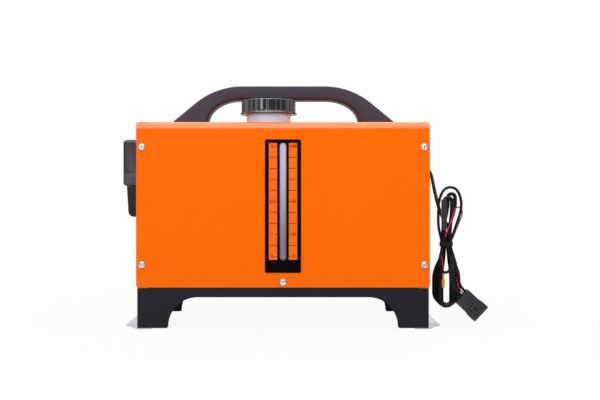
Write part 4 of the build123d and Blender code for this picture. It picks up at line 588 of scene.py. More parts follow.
@dataclass(frozen=True)
class ConnectorPlastic(MouldedPlastic):
    """Moulded plastic of the connector, with painted shade in its latch slot and round the
    latch.
    """

    start_x: float = PLUG_END[0] * MM
    start_z: float = PLUG_END[2] * MM
    angle: float = math.radians(PLUG_ANGLE)
    latch_at: float = 23.5 * MM
    latch_half: tuple[float, float] = (6.0 * MM, 5.5 * MM)
    slot_at: float = 24.5 * MM
    slot_half: tuple[float, float] = (3.2 * MM, 2.1 * MM)
    line_in: float = -0.4 * MM
    line_out: float = 0.7 * MM
    lip_in: float = -0.8 * MM
    lip_out: float = 0.2 * MM
    line_blur: float = 0.4 * MM
    face_y: float = -34.5 * MM
    face_blur: float = 1.0 * MM
    # tones of the painted shade along the latch and in its slot
    line_painted_shade: float = 0.15
    line_strength: float = 0.85
    slot_painted_shade: float = 0.05

    def lined(self, sketch: Sketch, colour: Value) -> Value:
        """Paints shade on the front by distances from the cable end: along is dx cos + dz sin,
        and across is dz cos - dx sin.

        Args:
            sketch: The material's tree.
            colour: The plain plastic.

        Returns:
            The plastic, with painted shade in the slot and along the latch and its lip.
        """
        x, y, z = sketch.axes()
        cos, sin = math.cos(self.angle), math.sin(self.angle)
        dx, dz = x - self.start_x, z - self.start_z
        along = dx * cos + dz * sin
        across = dz * cos - dx * sin
        slot = (along - self.slot_at).beyond(self.slot_half[0]).most(
            across.beyond(self.slot_half[1]))
        latch = (along - self.latch_at).beyond(self.latch_half[0]).most(
            across.beyond(self.latch_half[1]))
        lip = latch.step(0.0, self.line_blur) * along.band(
            self.latch_at + self.lip_in, self.latch_at + self.lip_out, self.line_blur)
        line = latch.band(self.line_in, self.line_out, self.line_blur).most(lip)
        front = 1.0 - y.step(self.face_y, self.face_blur)
        # painted shade along the latch and its lip
        colour = sketch.tint(line * front * self.line_strength, colour,
                             darker(self.colour, self.line_painted_shade))
        # painted shade in the latch slot
        return sketch.tint((1.0 - slot.step(0.0, self.line_blur)) * front, colour,
                           darker(self.colour, self.slot_painted_shade))


@dataclass(frozen=True)
class TankShell:
    """Milky blow-moulded plastic, darkened downwards by painted shade, with a painted lit tone
    on the neck.
    """

    name: str
    # painted shade: the palest tone (empty) at the top, the darkest at the bottom, and a
    # painted lit tone for the neck
    empty: Colour = (0.50, 0.50, 0.57)
    painted_shade_low: Colour = (0.165, 0.135, 0.17)
    painted_lit_neck: Colour = (0.72, 0.82, 0.95)
    painted_shade_low_z: float = 95.0 * MM
    painted_shade_high_z: float = 235.0 * MM
    neck_z: float = 262.0 * MM
    neck_blur: float = 6.0 * MM
    roughness: float = 0.35
    milk: float = 0.25
    milk_reach: Point = (4.0 * MM, 4.0 * MM, 5.0 * MM)
    flow: Noise = Noise(60.0, 3.0, strength=0.16)
    flow_shade: float = 0.8
    flow_matt: float = 0.14
    skin: Noise = Noise(500.0)
    skin_depth: float = 0.02 * MM

    def mix(self) -> bpy.types.Material:
        """Painted shade runs from dark at the bottom to pale at the top along Z; the neck
        above the top takes a painted lit tone.

        Returns:
            The material.
        """
        sketch = Sketch(self.name)
        _, _, z = sketch.axes()
        rise = sketch.ranged(z, self.painted_shade_low_z, self.painted_shade_high_z)
        flow = sketch.noise(self.flow)
        # painted shade, darker towards the bottom
        colour = sketch.tint(rise, self.painted_shade_low, self.empty)
        # painted lit tone on the neck
        colour = sketch.tint(z.step(self.neck_z, self.neck_blur), colour, self.painted_lit_neck)
        colour = sketch.tint(flow * self.flow.strength, colour,
                             darker(self.painted_lit_neck, self.flow_shade))
        sketch.feed(Base_Color=colour,
                    Roughness=sketch.uneven(self.roughness, (flow, self.flow_matt)),
                    Subsurface_Weight=self.milk, Subsurface_Radius=self.milk_reach)
        sketch.relief(sketch.noise(self.skin), self.skin_depth)
        return sketch.material


@dataclass(frozen=True)
class GaugeFilm:
    """Printed film of the level gauge: black, with two orange strips and their marks."""

    name: str = "gauge_film"
    ink: Colour = (0.0004, 0.0003, 0.0004)
    strip: Colour = (0.93, 0.155, 0.006)
    mark: Colour = (0.40, 0.004, 0.001)
    strip_inner: float = 7.75 * MM
    strip_outer: float = 18.8 * MM
    strip_low: float = 92.4 * MM
    strip_high: float = 247.2 * MM
    mark_low: float = 96.8 * MM
    mark_step: float = 14.6 * MM
    mark_half: float = 0.55 * MM
    mark_outer: float = 17.2 * MM
    short_outer: float = 10.9 * MM
    numbered: tuple[int, ...] = (0, 2, 5, 10)
    mark_count: int = 11
    mark_strength: float = 0.9
    blur: float = 0.12 * MM
    roughness: float = 0.43
    specular: float = 0.04
    cloud: Noise = Noise(60.0, 3.0)
    cloud_matt: float = 0.08
    grain: Noise = Noise(1800.0, 1.0)
    grain_matt: float = 0.1
    grain_depth: float = 0.006 * MM

    def mix(self) -> bpy.types.Material:
        """Strips are bands of |x| and z; marks are short bands of z inside them.

        Returns:
            The material.
        """
        sketch = Sketch(self.name)
        x, _, z = sketch.axes()
        out = abs(x)
        strips = (out.band(self.strip_inner, self.strip_outer, self.blur)
                  * z.band(self.strip_low, self.strip_high, self.blur))
        marks: Term = 0.0
        for i in range(self.mark_count):
            reach = self.short_outer if i in self.numbered else self.mark_outer
            height = self.mark_low + i * self.mark_step
            line = z.band(height - self.mark_half, height + self.mark_half, self.blur)
            marks = line * (1.0 - out.step(reach, self.blur)) + marks
        cloud, grain = map(sketch.noise, (self.cloud, self.grain))
        colour = sketch.tint(strips, self.ink, self.strip)
        colour = sketch.tint(strips * marks * self.mark_strength, colour, self.mark)
        sketch.feed(Base_Color=colour, Specular_IOR_Level=self.specular,
                    Roughness=sketch.uneven(self.roughness, (cloud, self.cloud_matt),
                                            (grain, self.grain_matt)))
        sketch.relief(grain, self.grain_depth)
        return sketch.material


@dataclass(frozen=True)
class CastAlloy:
    """Die-cast aluminium: grey skin with a fine sandy surface and flow lines."""

    name: str
    colour: Colour = (0.55, 0.56, 0.57)
    roughness: float = 0.52
    metal: float = 0.85
    flow: Noise = Noise(45.0, 4.0, cut=(0.5, 0.4))
    flow_shade: float = 0.72
    flow_metal: float = 0.2
    sand: Noise = Noise(900.0, 3.0)
    sand_matt: float = 0.2
    sand_depth: float = 0.05 * MM

    def mix(self) -> bpy.types.Material:
        """Sandy bump and cloudy tone on metal.

        Returns:
            The material.
        """
        sketch = Sketch(self.name)
        flow, sand = map(sketch.noise, (self.flow, self.sand))
        colour = sketch.tint(flow.patches(self.flow), self.colour,
                             darker(self.colour, self.flow_shade))
        sketch.feed(Base_Color=colour,
                    Metallic=sketch.uneven(self.metal, (flow, self.flow_metal)),
                    Roughness=sketch.uneven(self.roughness, (sand, self.sand_matt)))
        sketch.relief(sand, self.sand_depth)
        return sketch.material


@dataclass(frozen=True)
class DrawnMetal:
    """Turned or drawn metal: fine rings along one axis, faint heat or handling tint."""

    name: str
    colour: Colour
    tinted: Colour
    roughness: float = 0.3
    axis: Axis = Axis.X
    rings: float = 1300.0
    ring_matt: float = 0.08
    ring_depth: float = 0.006 * MM
    patch: Noise = Noise(70.0, 4.0, cut=(0.56, 0.3), strength=0.6)
    patch_matt: float = 0.16

    def mix(self) -> bpy.types.Material:
        """Rings are a sine along the axis; noise lays the tint in patches.

        Returns:
            The material.
        """
        sketch = Sketch(self.name)
        ring = sketch.axes()[self.axis.value].ripple(self.rings)
        patch = sketch.noise(self.patch)
        sketch.feed(Base_Color=sketch.tint(patch.patches(self.patch), self.colour,
                                           self.tinted),
                    Metallic=1.0,
                    Roughness=sketch.uneven(self.roughness, (patch, self.patch_matt),
                                            (ring, self.ring_matt)))
        sketch.relief(ring, self.ring_depth)
        return sketch.material


@dataclass(frozen=True)
class Rubber:
    """Moulded rubber or soft jacket: matt, with dust in its grain."""

    name: str
    colour: Colour
    dust: Colour
    roughness: float = 0.6
    grain: Noise = Noise(700.0, 3.0, cut=(0.5, 0.3))
    grain_matt: float = 0.14
    depth: float = 0.03 * MM
    patch: Noise = Noise(40.0, 3.0, cut=(0.55, 0.3), strength=0.5)

    def mix(self) -> bpy.types.Material:
        """Grain bump, with dust lying where the grain is low.

        Returns:
            The material.
        """
        sketch = Sketch(self.name)
        grain, patch = map(sketch.noise, (self.grain, self.patch))
        dusty = patch.patches(self.patch) * (1.0 - grain.patches(self.grain))
        sketch.feed(Base_Color=sketch.tint(dusty, self.colour, self.dust),
                    Roughness=sketch.uneven(self.roughness, (grain, self.grain_matt)))
        sketch.relief(grain, self.depth)
        return sketch.material


@dataclass(frozen=True)
class Jacket:
    """Extruded cable jacket: faint die lines along the cable and worn shine in patches."""

    name: str
    colour: Colour
    lifted: Colour
    roughness: float = 0.43
    specular: float = 0.15
    die_lines: float = 9.0
    line_depth: float = 0.02 * MM
    cloud: Noise = Noise(90.0, 4.0, cut=(0.55, 0.35), strength=0.7)
    cloud_matt: float = 0.22
    grain: Noise = Noise(1500.0, strength=0.5)
    grain_matt: float = 0.08

    def mix(self) -> bpy.types.Material:
        """Die lines come from the tube's own UV, shine and tone from noise.

        Returns:
            The material.
        """
        sketch = Sketch(self.name)
        _, turn, _ = sketch.parts(sketch.place(Lay.CORD))
        lines = turn.ripple(self.die_lines)
        cloud, grain = map(sketch.noise, (self.cloud, self.grain))
        colour = sketch.tint(cloud.patches(self.cloud), self.colour, self.lifted)
        sketch.feed(Base_Color=colour, Specular_IOR_Level=self.specular,
                    Roughness=sketch.uneven(self.roughness, (grain, self.grain_matt),
                                            (cloud, self.cloud_matt)))
        sketch.relief(lines * (1.0 - self.grain.strength) + grain * self.grain.strength,
                      self.line_depth)
        return sketch.material


@dataclass(frozen=True)
class CircuitBoard:
    """Green board with copper tracks under the mask and dark parts standing on it."""

    name: str
    face_x: float
    mask: Colour = (0.008, 0.10, 0.035)
    track: Colour = (0.03, 0.21, 0.06)
    part: Colour = (0.02, 0.02, 0.022)
    roughness: float = 0.35
    along: Noise = Noise(180.0, 1.0, (1.0, 0.2, 1.0))
    across: Noise = Noise(180.0, 1.0, (1.0, 1.0, 0.2))
    track_cut: tuple[float, float, float] = (0.48, 0.53, 0.01)
    track_matt: float = 0.1
    track_depth: float = 0.03 * MM
    part_height: float = 0.3 * MM
    part_blur: float = 0.2 * MM

    def mix(self) -> bpy.types.Material:
        """Tracks are thin steps of two stretched noises; parts are what stands off the face.

        Returns:
            The material.
        """
        sketch = Sketch(self.name)
        x, _, _ = sketch.axes()
        along, across = (sketch.noise(noise).band(*self.track_cut)
                         for noise in (self.along, self.across))
        tracks = along.most(across)
        tall = 1.0 - x.step(self.face_x - self.part_height, self.part_blur)
        colour = sketch.tint(tracks, self.mask, self.track)
        colour = sketch.tint(tall, colour, self.part)
        sketch.feed(Base_Color=colour, Roughness=tracks * self.track_matt + self.roughness)
        sketch.relief(tracks, self.track_depth)
        return sketch.material


@dataclass(frozen=True)
class ClearLens:
    """Tinted screen window: dark and glossy, with faint dust and rub marks."""

    name: str
    colour: Colour = (0.012, 0.014, 0.018)
    dusty: Colour = (0.2, 0.2, 0.2)
    roughness: float = 0.04
    coat: float = 0.6
    coat_roughness: float = 0.05
    rub: Noise = Noise(120.0, 4.0, (1.0, 0.25, 1.0), strength=0.12)
    dust: Noise = Noise(2200.0, 1.0, cut=(0.72, 0.06), strength=0.25)

    def mix(self) -> bpy.types.Material:
        """Gloss broken by rubs; tone lifted a little by dust.

        Returns:
            The material.
        """
        sketch = Sketch(self.name)
        dust = sketch.noise(self.dust).patches(self.dust)
        sketch.feed(Base_Color=sketch.tint(dust, self.colour, self.dusty),
                    Roughness=sketch.noise(self.rub) * self.rub.strength + self.roughness,
                    Coat_Weight=self.coat, Coat_Roughness=self.coat_roughness)
        return sketch.material


class Palette:
    """The finishes of this heater, by what they cover."""

    orange = PowderCoat("orange_powder_coat", (0.97, 0.149, 0.0), (0.62, 0.16, 0.05), 0.34,
                        end_x=195.0 * MM, low_z=55.5 * MM, specular=0.02, coat=1.0)
    orange_panel = replace(orange, name="orange_panel_coat", end_x=300.0 * MM)
    black_steel = PowderCoat("black_powder_coat", (0.0165, 0.015, 0.0195),
                             (0.06, 0.06, 0.066), 0.44, end_x=300.0 * MM, low_z=1.5 * MM,
                             peel=0.03 * MM, specular=0.1)
    zinc = ZincPlate("zinc_plate")
    fastener = ZincPlate("fastener_zinc", (0.66, 0.70, 0.74), 0.26, 900.0)
    handle = MouldedPlastic("handle_plastic", (0.056, 0.054, 0.073), 0.46, 900.0,
                            0.016 * MM, specular=0.08)
    cap = MouldedPlastic("cap_plastic", (0.012, 0.011, 0.016), 0.2, 1100.0, 0.003 * MM,
                         specular=1.0)
    housing = HousingPlastic("housing_plastic", (0.045, 0.043, 0.056), 0.36, 1300.0,
                             0.016 * MM, specular=0.35)
    cradle = MouldedPlastic("cradle_plastic", (0.014, 0.0115, 0.0140), 0.42, 1300.0,
                            0.022 * MM, specular=0.2)
    casing = MouldedPlastic("casing_plastic", (0.02, 0.02, 0.021), 0.5, 800.0, 0.03 * MM)
    connector = ConnectorPlastic("connector_plastic", (0.023, 0.022, 0.028), 0.34, 1500.0,
                                 0.008 * MM, specular=0.4)
    strap = MouldedPlastic("strap_nylon", (0.006, 0.006, 0.007), 0.32, 1500.0, 0.01 * MM,
                           specular=0.2)
    grey_key = MouldedPlastic("key_grey", (0.22, 0.23, 0.25), 0.42, 1700.0, 0.01 * MM)
    red_key = MouldedPlastic("key_red", (0.42, 0.018, 0.012), 0.38, 1700.0, 0.01 * MM)
    wire_cap = MouldedPlastic("wire_cap_yellow", (0.83, 0.50, 0.012), 0.40, 1600.0,
                              0.01 * MM)
    filter_shell = MouldedPlastic("filter_shell", (0.70, 0.67, 0.58), 0.3, 900.0, 0.01 * MM)
    print_ink = MouldedPlastic("print_ink", (0.25, 0.003, 0.001), 0.5, 2000.0, 0.002 * MM,
                               specular=0.05)
    tank = TankShell("tank_shell")
    film = GaugeFilm()
    cast = CastAlloy("cast_alloy")
    steel = DrawnMetal("bright_steel", (0.60, 0.60, 0.61), (0.44, 0.42, 0.40))
    flame_steel = DrawnMetal("heat_tinted_steel", (0.50, 0.45, 0.40), (0.22, 0.17, 0.26),
                             0.4)
    pump_steel = DrawnMetal("pump_steel", (0.56, 0.57, 0.58), (0.40, 0.40, 0.42),
                            axis=Axis.Z)
    brass = DrawnMetal("brass_fitting", (0.72, 0.52, 0.20), (0.52, 0.34, 0.12), 0.28)
    ceramic = Rubber("glow_ceramic", (0.30, 0.29, 0.27), (0.14, 0.13, 0.12), 0.5,
                     Noise(1200.0, 3.0, cut=(0.5, 0.3)))
    rubber = Rubber("black_rubber", (0.014, 0.014, 0.014), (0.06, 0.055, 0.05))
    gland = Rubber("gland_rubber", (0.012, 0.012, 0.012), (0.04, 0.04, 0.04), 0.5)
    black_jacket = Jacket("black_jacket", (0.0075, 0.007, 0.0085), (0.018, 0.017, 0.020))
    red_jacket = Jacket("red_jacket", (0.62, 0.022, 0.062), (0.80, 0.07, 0.13), 0.37)
    lens = ClearLens("screen_lens")


# ------------------------------------------------------------------ meshes
def ring_mesh(name: str, points: np.ndarray) -> bpy.types.Object:
    """Skins rings of points, each closed on itself.

    A face joins four neighbours. Its share of the enclosed volume is the sum over its
    two triangles of a . (b x c), and a negative total turns all faces over.

    Args:
        name: Name of the object and its mesh.
        points: Array of shape (rings, columns, 3).

    Returns:
        The new object, with its poles merged and its faces outwards.
    """
    rows, columns = points.shape[:2]
    number = np.arange(rows * columns).reshape(rows, columns)
    number = np.hstack([number, number[:, :1]])
    corners = (number[:-1, :-1], number[:-1, 1:], number[1:, 1:], number[1:, :-1])
    faces = np.stack(corners, axis=-1).reshape(-1, 4)
    flat = points.reshape(-1, 3)
    a, b, c, d = (flat[faces[:, i]] for i in range(4))
    swell = np.einsum("ij,ij->i", a, np.cross(b, c) + np.cross(c, d)).sum()
    faces = faces if swell > 0 else faces[:, ::-1]
    mesh = bpy.data.meshes.new(name)
    mesh.from_pydata(flat.tolist(), [], faces.tolist())
    work = bmesh.new()
    work.from_mesh(mesh)
    bmesh.ops.remove_doubles(work, verts=work.verts, dist=MERGE_POLES)
    bmesh.ops.dissolve_degenerate(work, edges=work.edges, dist=MERGE_POLES / 10)
    work.to_mesh(mesh)
    work.free()
    mesh.shade_smooth()
    return new_object(name, mesh)


def new_object(name: str, data: bpy.types.ID) -> bpy.types.Object:
    """Links a new object at the origin.

    Args:
        name: Name of the object.
        data: The mesh, curve, lamp or camera that it holds.

    Returns:
        The object.
    """
    piece = bpy.data.objects.new(name, data)
    bpy.context.collection.objects.link(piece)
    return piece


def joined(name: str, pieces: Sequence[bpy.types.Object]) -> bpy.types.Object:
    """Makes one object of several meshes that lie at the origin.

    Args:
        name: Name of the new object.
        pieces: The meshes' objects, which are removed.

    Returns:
        The new object.
    """
    work = bmesh.new()
    for piece in pieces:
        work.from_mesh(piece.data)
        bpy.data.objects.remove(piece)
    mesh = bpy.data.meshes.new(name)
    work.to_mesh(mesh)
    work.free()
    mesh.shade_smooth()
    return new_object(name, mesh)


def eased(value: np.ndarray) -> np.ndarray:
    """Smooth step of an array: 3t^2 - 2t^3 on t held from 0 to 1."""
    held = np.clip(value, 0.0, 1.0)
    return held * held * (3.0 - 2.0 * held)


class Facing(Enum):
    """Way that a fastener's head faces."""

    FRONT = 0
    REAR = 1
    UP = 2

    def turn(self, points: np.ndarray) -> np.ndarray:
        """Turns points so that their third part, the height, faces this way.

        Args:
            points: Array of shape (..., 3).

        Returns:
            The turned points.
        """
        u, v, w = np.moveaxis(points, -1, 0)
        turned = {Facing.FRONT: (u, -w, v), Facing.REAR: (-u, w, v), Facing.UP: (u, v, w)}
        return np.stack(turned[self], axis=-1)


class Workshop:
    """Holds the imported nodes, and settles pieces and finishes on them."""

    def __init__(self, frame: dict[str, Any]) -> None:
        """Keeps the frame's nodes by name."""
        self.nodes: dict[str, bpy.types.Object] = frame["nodes"]

    def dress(self, finish: Finish, *names: str) -> None:
        """Gives carried-over nodes their finish.

        Args:
            finish: The finish.
            names: Names of the nodes.
        """
        for name in names:
            for slot in self.nodes[name].material_slots:
                slot.material = mixed(finish)
            LOG.info("%s keeps its solid and takes %s", name, mixed(finish).name)

    def settle(self, piece: bpy.types.Object, finish: Finish, body: Body,
               stands_for: Iterable[str] = ()) -> bpy.types.Object:
        """Finishes a new piece and lets it ride on its body.

        Args:
            piece: The piece, at the origin.
            finish: Its finish.
            body: The body that it moves with.
            stands_for: Nodes that it replaces.

        Returns:
            The same piece.
        """
        piece.data.materials.clear()
        piece.data.materials.append(mixed(finish))
        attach(piece, body.value)
        if stands_for:
            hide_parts(*stands_for)
        LOG.info("%s rides on %s with %s", piece.name, body.value, mixed(finish).name)
        return piece

    def soften(self, node: str, finish: Finish, edge: float, body: Body = Body.CABINET,
               angle: float = 32.0) -> bpy.types.Object:
        """Replaces a rigid node by a merged copy whose sharp edges are rounded.

        Args:
            node: The node to stand for.
            finish: Finish of the copy.
            edge: Width of the rounding in metres.
            body: The body that it moves with.
            angle: Least angle in degrees of an edge that is rounded.

        Returns:
            The new piece.
        """
        mesh = self.nodes[node].data.copy()
        work = bmesh.new()
        work.from_mesh(mesh)
        bmesh.ops.remove_doubles(work, verts=work.verts, dist=MERGE_SOLID)
        bmesh.ops.dissolve_limit(work, angle_limit=FLAT_ANGLE, verts=work.verts,
                                 edges=work.edges)
        work.to_mesh(mesh)
        work.free()
        mesh.name = f"{node}_skin"
        mesh.shade_smooth()
        mesh.set_sharp_from_angle(angle=math.radians(angle))
        piece = new_object(f"{node}_skin", mesh)
        rounding = piece.modifiers.new("rounding", "BEVEL")
        rounding.width = edge
        rounding.segments = 2
        rounding.limit_method = "ANGLE"
        rounding.angle_limit = math.radians(angle)
        rounding.harden_normals = True
        rounding.use_clamp_overlap = True
        return self.settle(piece, finish, body, [node])


# ------------------------------------------------------------------ sub-assemblies
class SubAssembly(Protocol):
    """A group of pieces that is built in one go."""

    def build(self, shop: Workshop) -> None:
        """Builds and dresses the group's pieces."""


@dataclass
class Plinth:
    """Black arched plinth on two bright foot plates."""

    edge: float = 0.35 * MM

    def build(self, shop: Workshop) -> None:
        """Rounds the sheet's edges and plates the feet.

        Args:
            shop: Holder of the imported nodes.
        """
        shop.soften("base_frame", Palette.black_steel, self.edge)
        for side in ("left", "right"):
            shop.soften(f"foot_plate_{side}", Palette.zinc, self.edge)
        shop.dress(Palette.fastener, "foot_rivets")


@dataclass
class Cabinet:
    """Folded orange cover, two end panels and their pan-head screws."""

    edge: float = 0.25 * MM
    head_radius: float = 4.5 * MM
    head_height: float = 2.6 * MM
    shank_radius: float = 2.0 * MM
    shank_length: float = 4.5 * MM
    thread_pitch: float = 0.8 * MM
    recess_half: float = 0.62 * MM
    recess_reach: float = 2.5 * MM
    recess_depth: float = 1.5 * MM
    recess_blur: float = 0.3 * MM
    reach_blur: float = 0.5 * MM
    thread_depth: float = 0.25 * MM
    first_turn: float = 0.35
    next_turn: float = 1.1
    sectors: int = 56
    head_rings: int = 15
    shank_rings: int = 15
    half_depth: float = 75.0 * MM
    side_x: float = 187.5 * MM
    side_z: tuple[float, float] = (85.5 * MM, 241.9 * MM)
    low_z: float = 62.5 * MM
    top_z: float = 275.5 * MM
    top_y: float = 59.0 * MM

    def screw_points(self, facing: Facing, place: Point, turn: float) -> np.ndarray:
        """Pan-head screw with a cross recess, as rings round its axis.

        The head's height falls off as the fourth power of the radius; the recess is two
        crossed bars whose floor rises outwards; the thread is a sine along the shank.

        Args:
            facing: Way that the head faces.
            place: Centre of the head's seat.
            turn: Angle of the cross in radians.

        Returns:
            Array of shape (rows, sectors, 3).
        """
        share = np.linspace(0.0, 1.0, self.head_rings)
        head_r = share * self.head_radius
        head_z = self.head_height * (1.0 - 0.5 * share ** 4)
        shank_z = np.linspace(0.0, -self.shank_length, self.shank_rings + 1)[1:]
        shank_r = self.shank_radius - self.thread_depth * (
            0.5 + 0.5 * np.cos(math.tau * shank_z / self.thread_pitch))
        radius = np.concatenate([head_r, [self.head_radius, self.shank_radius], shank_r,
                                 [0.0]])
        height = np.concatenate([head_z, [0.0, 0.0], shank_z, [-self.shank_length]])
        angle = np.linspace(0.0, math.tau, self.sectors, endpoint=False)
        u = radius[:, None] * np.cos(angle)
        v = radius[:, None] * np.sin(angle)
        w = np.repeat(height[:, None], self.sectors, axis=1)
        along = np.maximum(np.abs(u), np.abs(v))
        across = np.minimum(np.abs(u), np.abs(v))
        bar = eased((self.recess_half - across) / self.recess_blur + 0.5)
        reach = eased((self.recess_reach - along) / self.reach_blur + 0.5)
        on_head = (np.arange(len(radius)) < len(share))[:, None]
        w = w - on_head * self.recess_depth * bar * reach
        spun = np.stack([u * math.cos(turn) - v * math.sin(turn),
                         u * math.sin(turn) + v * math.cos(turn), w], axis=-1)
        return facing.turn(spun) + np.array(place)

    def screw_places(self) -> list[tuple[Facing, Point]]:
        """Finds the seats: five at the front, five at the rear and four on the top.

        Returns:
            Each screw's facing and seat.
        """
        places: list[tuple[Facing, Point]] = []
        for facing, y in ((Facing.FRONT, -self.half_depth), (Facing.REAR, self.half_depth)):
            places += [(facing, (side * self.side_x, y, z))
                       for side in (-1, 1) for z in self.side_z]
            places.append((facing, (0.0, y, self.low_z)))
        places += [(Facing.UP, (sx * self.side_x, sy * self.top_y, self.top_z))
                   for sx in (-1, 1) for sy in (-1, 1)]
        return places

    def build(self, shop: Workshop) -> None:
        """Skins the sheets and sets the screws, each with its cross turned its own way.

        Args:
            shop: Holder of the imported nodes.
        """
        shop.soften("cover", Palette.orange, self.edge)
        for side in ("left", "right"):
            shop.soften(f"{side}_end_panel", Palette.orange_panel, self.edge)
        screws = []
        for i, (facing, place) in enumerate(self.screw_places()):
            turn = self.first_turn + self.next_turn * i
            screws.append(ring_mesh(f"screw_{i}", self.screw_points(facing, place, turn)))
        shop.settle(joined("cover_screw_set", screws), Palette.fastener, Body.CABINET,
                    ["cover_screws"])


@dataclass
class LevelGauge:
    """Printed film round the sight slot, with plain numbers at its marks."""

    face_y: float = -75.6 * MM
    digit_height: float = 4.1 * MM
    body_share: float = 1.36
    stroke: float = 0.14 * MM
    proud: float = 0.03 * MM
    left_x: float = -14.6 * MM
    right_x: float = 14.3 * MM
    low_z: float = Palette.film.mark_low
    step: float = Palette.film.mark_step
    litres: tuple[tuple[int, str], ...] = ((10, "5"), (5, "2.5"), (2, "1"), (0, "0"))
    percent: tuple[tuple[int, str], ...] = ((10, "100"), (5, "50"), (2, "20"), (0, "0"))

    def number(self, text: str, x: float, z: float) -> bpy.types.Object:
        """Prints one number, centred on a point of the film.

        Args:
            text: The digits.
            x: Middle of the number along X.
            z: Middle of the number along Z.

        Returns:
            The number's mesh, which stands proud of the film.
        """
        curve = bpy.data.curves.new(f"digits_{text}", "FONT")
        curve.body = text
        curve.size = self.digit_height * self.body_share
        curve.align_x = curve.align_y = "CENTER"
        curve.extrude = self.proud
        curve.offset = self.stroke
        source = new_object(curve.name, curve)
        bpy.context.view_layer.update()
        mesh = bpy.data.meshes.new_from_object(source)
        bpy.data.objects.remove(source)
        flat = np.empty(len(mesh.vertices) * 3, dtype=np.float32)
        mesh.vertices.foreach_get("co", flat)
        u, v, w = flat.reshape(-1, 3).T
        placed = np.stack([u + x, self.face_y - w, v + z], axis=-1)
        mesh.vertices.foreach_set("co", placed.astype(np.float32).ravel())
        return new_object(mesh.name, mesh)

    def build(self, shop: Workshop) -> None:
        """Dresses the film and prints the numbers on it.

        Args:
            shop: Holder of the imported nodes.
        """
        shop.dress(Palette.film, "gauge_label")
        numbers = [self.number(text, x, self.low_z + place * self.step)
                   for x, row in ((self.left_x, self.litres), (self.right_x, self.percent))
                   for place, text in row]
        shop.settle(joined("gauge_numbers", numbers), Palette.print_ink, Body.CABINET)


@dataclass
class CarryHandle:
    """Moulded handle and the screws that hold it from below."""

    edge: float = 0.5 * MM

    def build(self, shop: Workshop) -> None:
        """Softens the moulding's edges."""
        shop.soften("carry_handle", Palette.handle, self.edge)
        shop.dress(Palette.fastener, "handle_screws")


@dataclass
class FuelSystem:
    """Tank, cap, pump, filter and hoses."""

    axis_x: float = -20.1 * MM
    axis_y: float = -30.0 * MM
    bottom: float = 287.5 * MM
    height: float = 19.9 * MM
    wall_radius: float = 36.2 * MM
    rib: float = 1.0 * MM
    ribs: int = 20
    rim_radius: float = 38.8 * MM
    rim_height: float = 3.0 * MM
    bore: float = 30.95 * MM
    roof: float = 3.0 * MM
    chamfer: float = 0.5 * MM
    per_rib: int = 16
    rib_steepness: float = 2.6
    rib_fullness: float = 0.9
    dish: float = 0.5 * MM
    bend: float = 1.0 * MM
    tank_edge: float = 0.3 * MM

    def cap_points(self) -> np.ndarray:
        """Screw cap as rings round its axis, from the top's middle to the roof's inside.

        The profile's points are a radius, a height and a share of the ribs. The ribs are
        the hyperbolic tangent of a sine of the angle, added to the radius by that share.

        Returns:
            Array of shape (rows, sectors, 3).
        """
        top, rim, wall = self.height, self.rim_height, self.wall_radius
        dish, chamfer, bend = self.dish, self.chamfer, self.bend
        profile = [(0.0, top - dish, 0.0), (0.55 * wall, top - 0.9 * dish, 0.0),
                   (0.80 * wall, top - 0.7 * dish, 0.0), (0.84 * wall, top, 0.0),
                   (wall - 1.8 * chamfer, top, 0.0),
                   (wall - 0.62 * chamfer, top - 0.25 * chamfer, 0.1),
                   (wall - 0.2 * chamfer, top - 0.7 * chamfer, 0.7),
                   (wall, top - chamfer, 1.0), (wall, top - 2.0 * chamfer, 1.0),
                   (wall, rim + 3.0 * bend, 1.0), (wall, rim + 0.8 * bend, 1.0),
                   (wall + 0.3 * bend, rim + 0.2 * bend, 0.4),
                   (self.rim_radius - 0.7 * bend, rim - 0.2 * bend, 0.0),
                   (self.rim_radius - 0.15 * bend, rim - 0.8 * bend, 0.0),
                   (self.rim_radius, rim - 1.4 * bend, 0.0),
                   (self.rim_radius, 0.6 * bend, 0.0),
                   (self.rim_radius - 0.5 * bend, 0.05 * bend, 0.0),
                   (self.rim_radius - 1.2 * bend, 0.0, 0.0),
                   (self.bore + 0.6 * bend, 0.0, 0.0), (self.bore, 0.6 * bend, 0.0),
                   (self.bore, top - self.roof, 0.0), (0.0, top - self.roof, 0.0)]
        radius, height, ribbed = (np.array(column)[:, None] for column in zip(*profile))
        angle = np.linspace(0.0, math.tau, self.ribs * self.per_rib, endpoint=False)
        crest = np.tanh(self.rib_steepness * np.sin(self.ribs * angle) + self.rib_fullness)
        ring = radius + ribbed * self.rib * 0.5 * (1.0 + crest)
        return np.stack(np.broadcast_arrays(
            self.axis_x + ring * np.cos(angle), self.axis_y + ring * np.sin(angle),
            self.bottom + height), axis=-1)

    def build(self, shop: Workshop) -> None:
        """Skins the cap and tank, and dresses the fuel line.

        Args:
            shop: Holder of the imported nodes.
        """
        shop.settle(ring_mesh("fuel_cap_skin", self.cap_points()), Palette.cap, Body.CAP,
                    ["fuel_cap"])
        shop.soften("fuel_tank", Palette.tank, self.tank_edge)
        shop.dress(Palette.rubber, "cap_seal", "pump_mount", "fuel_hose_tank",
                   "fuel_hose_pump", "fuel_hose_heater")
        shop.dress(Palette.brass, "tank_outlet_fitting")
        shop.dress(Palette.pump_steel, "fuel_pump")
        shop.dress(Palette.filter_shell, "fuel_filter")


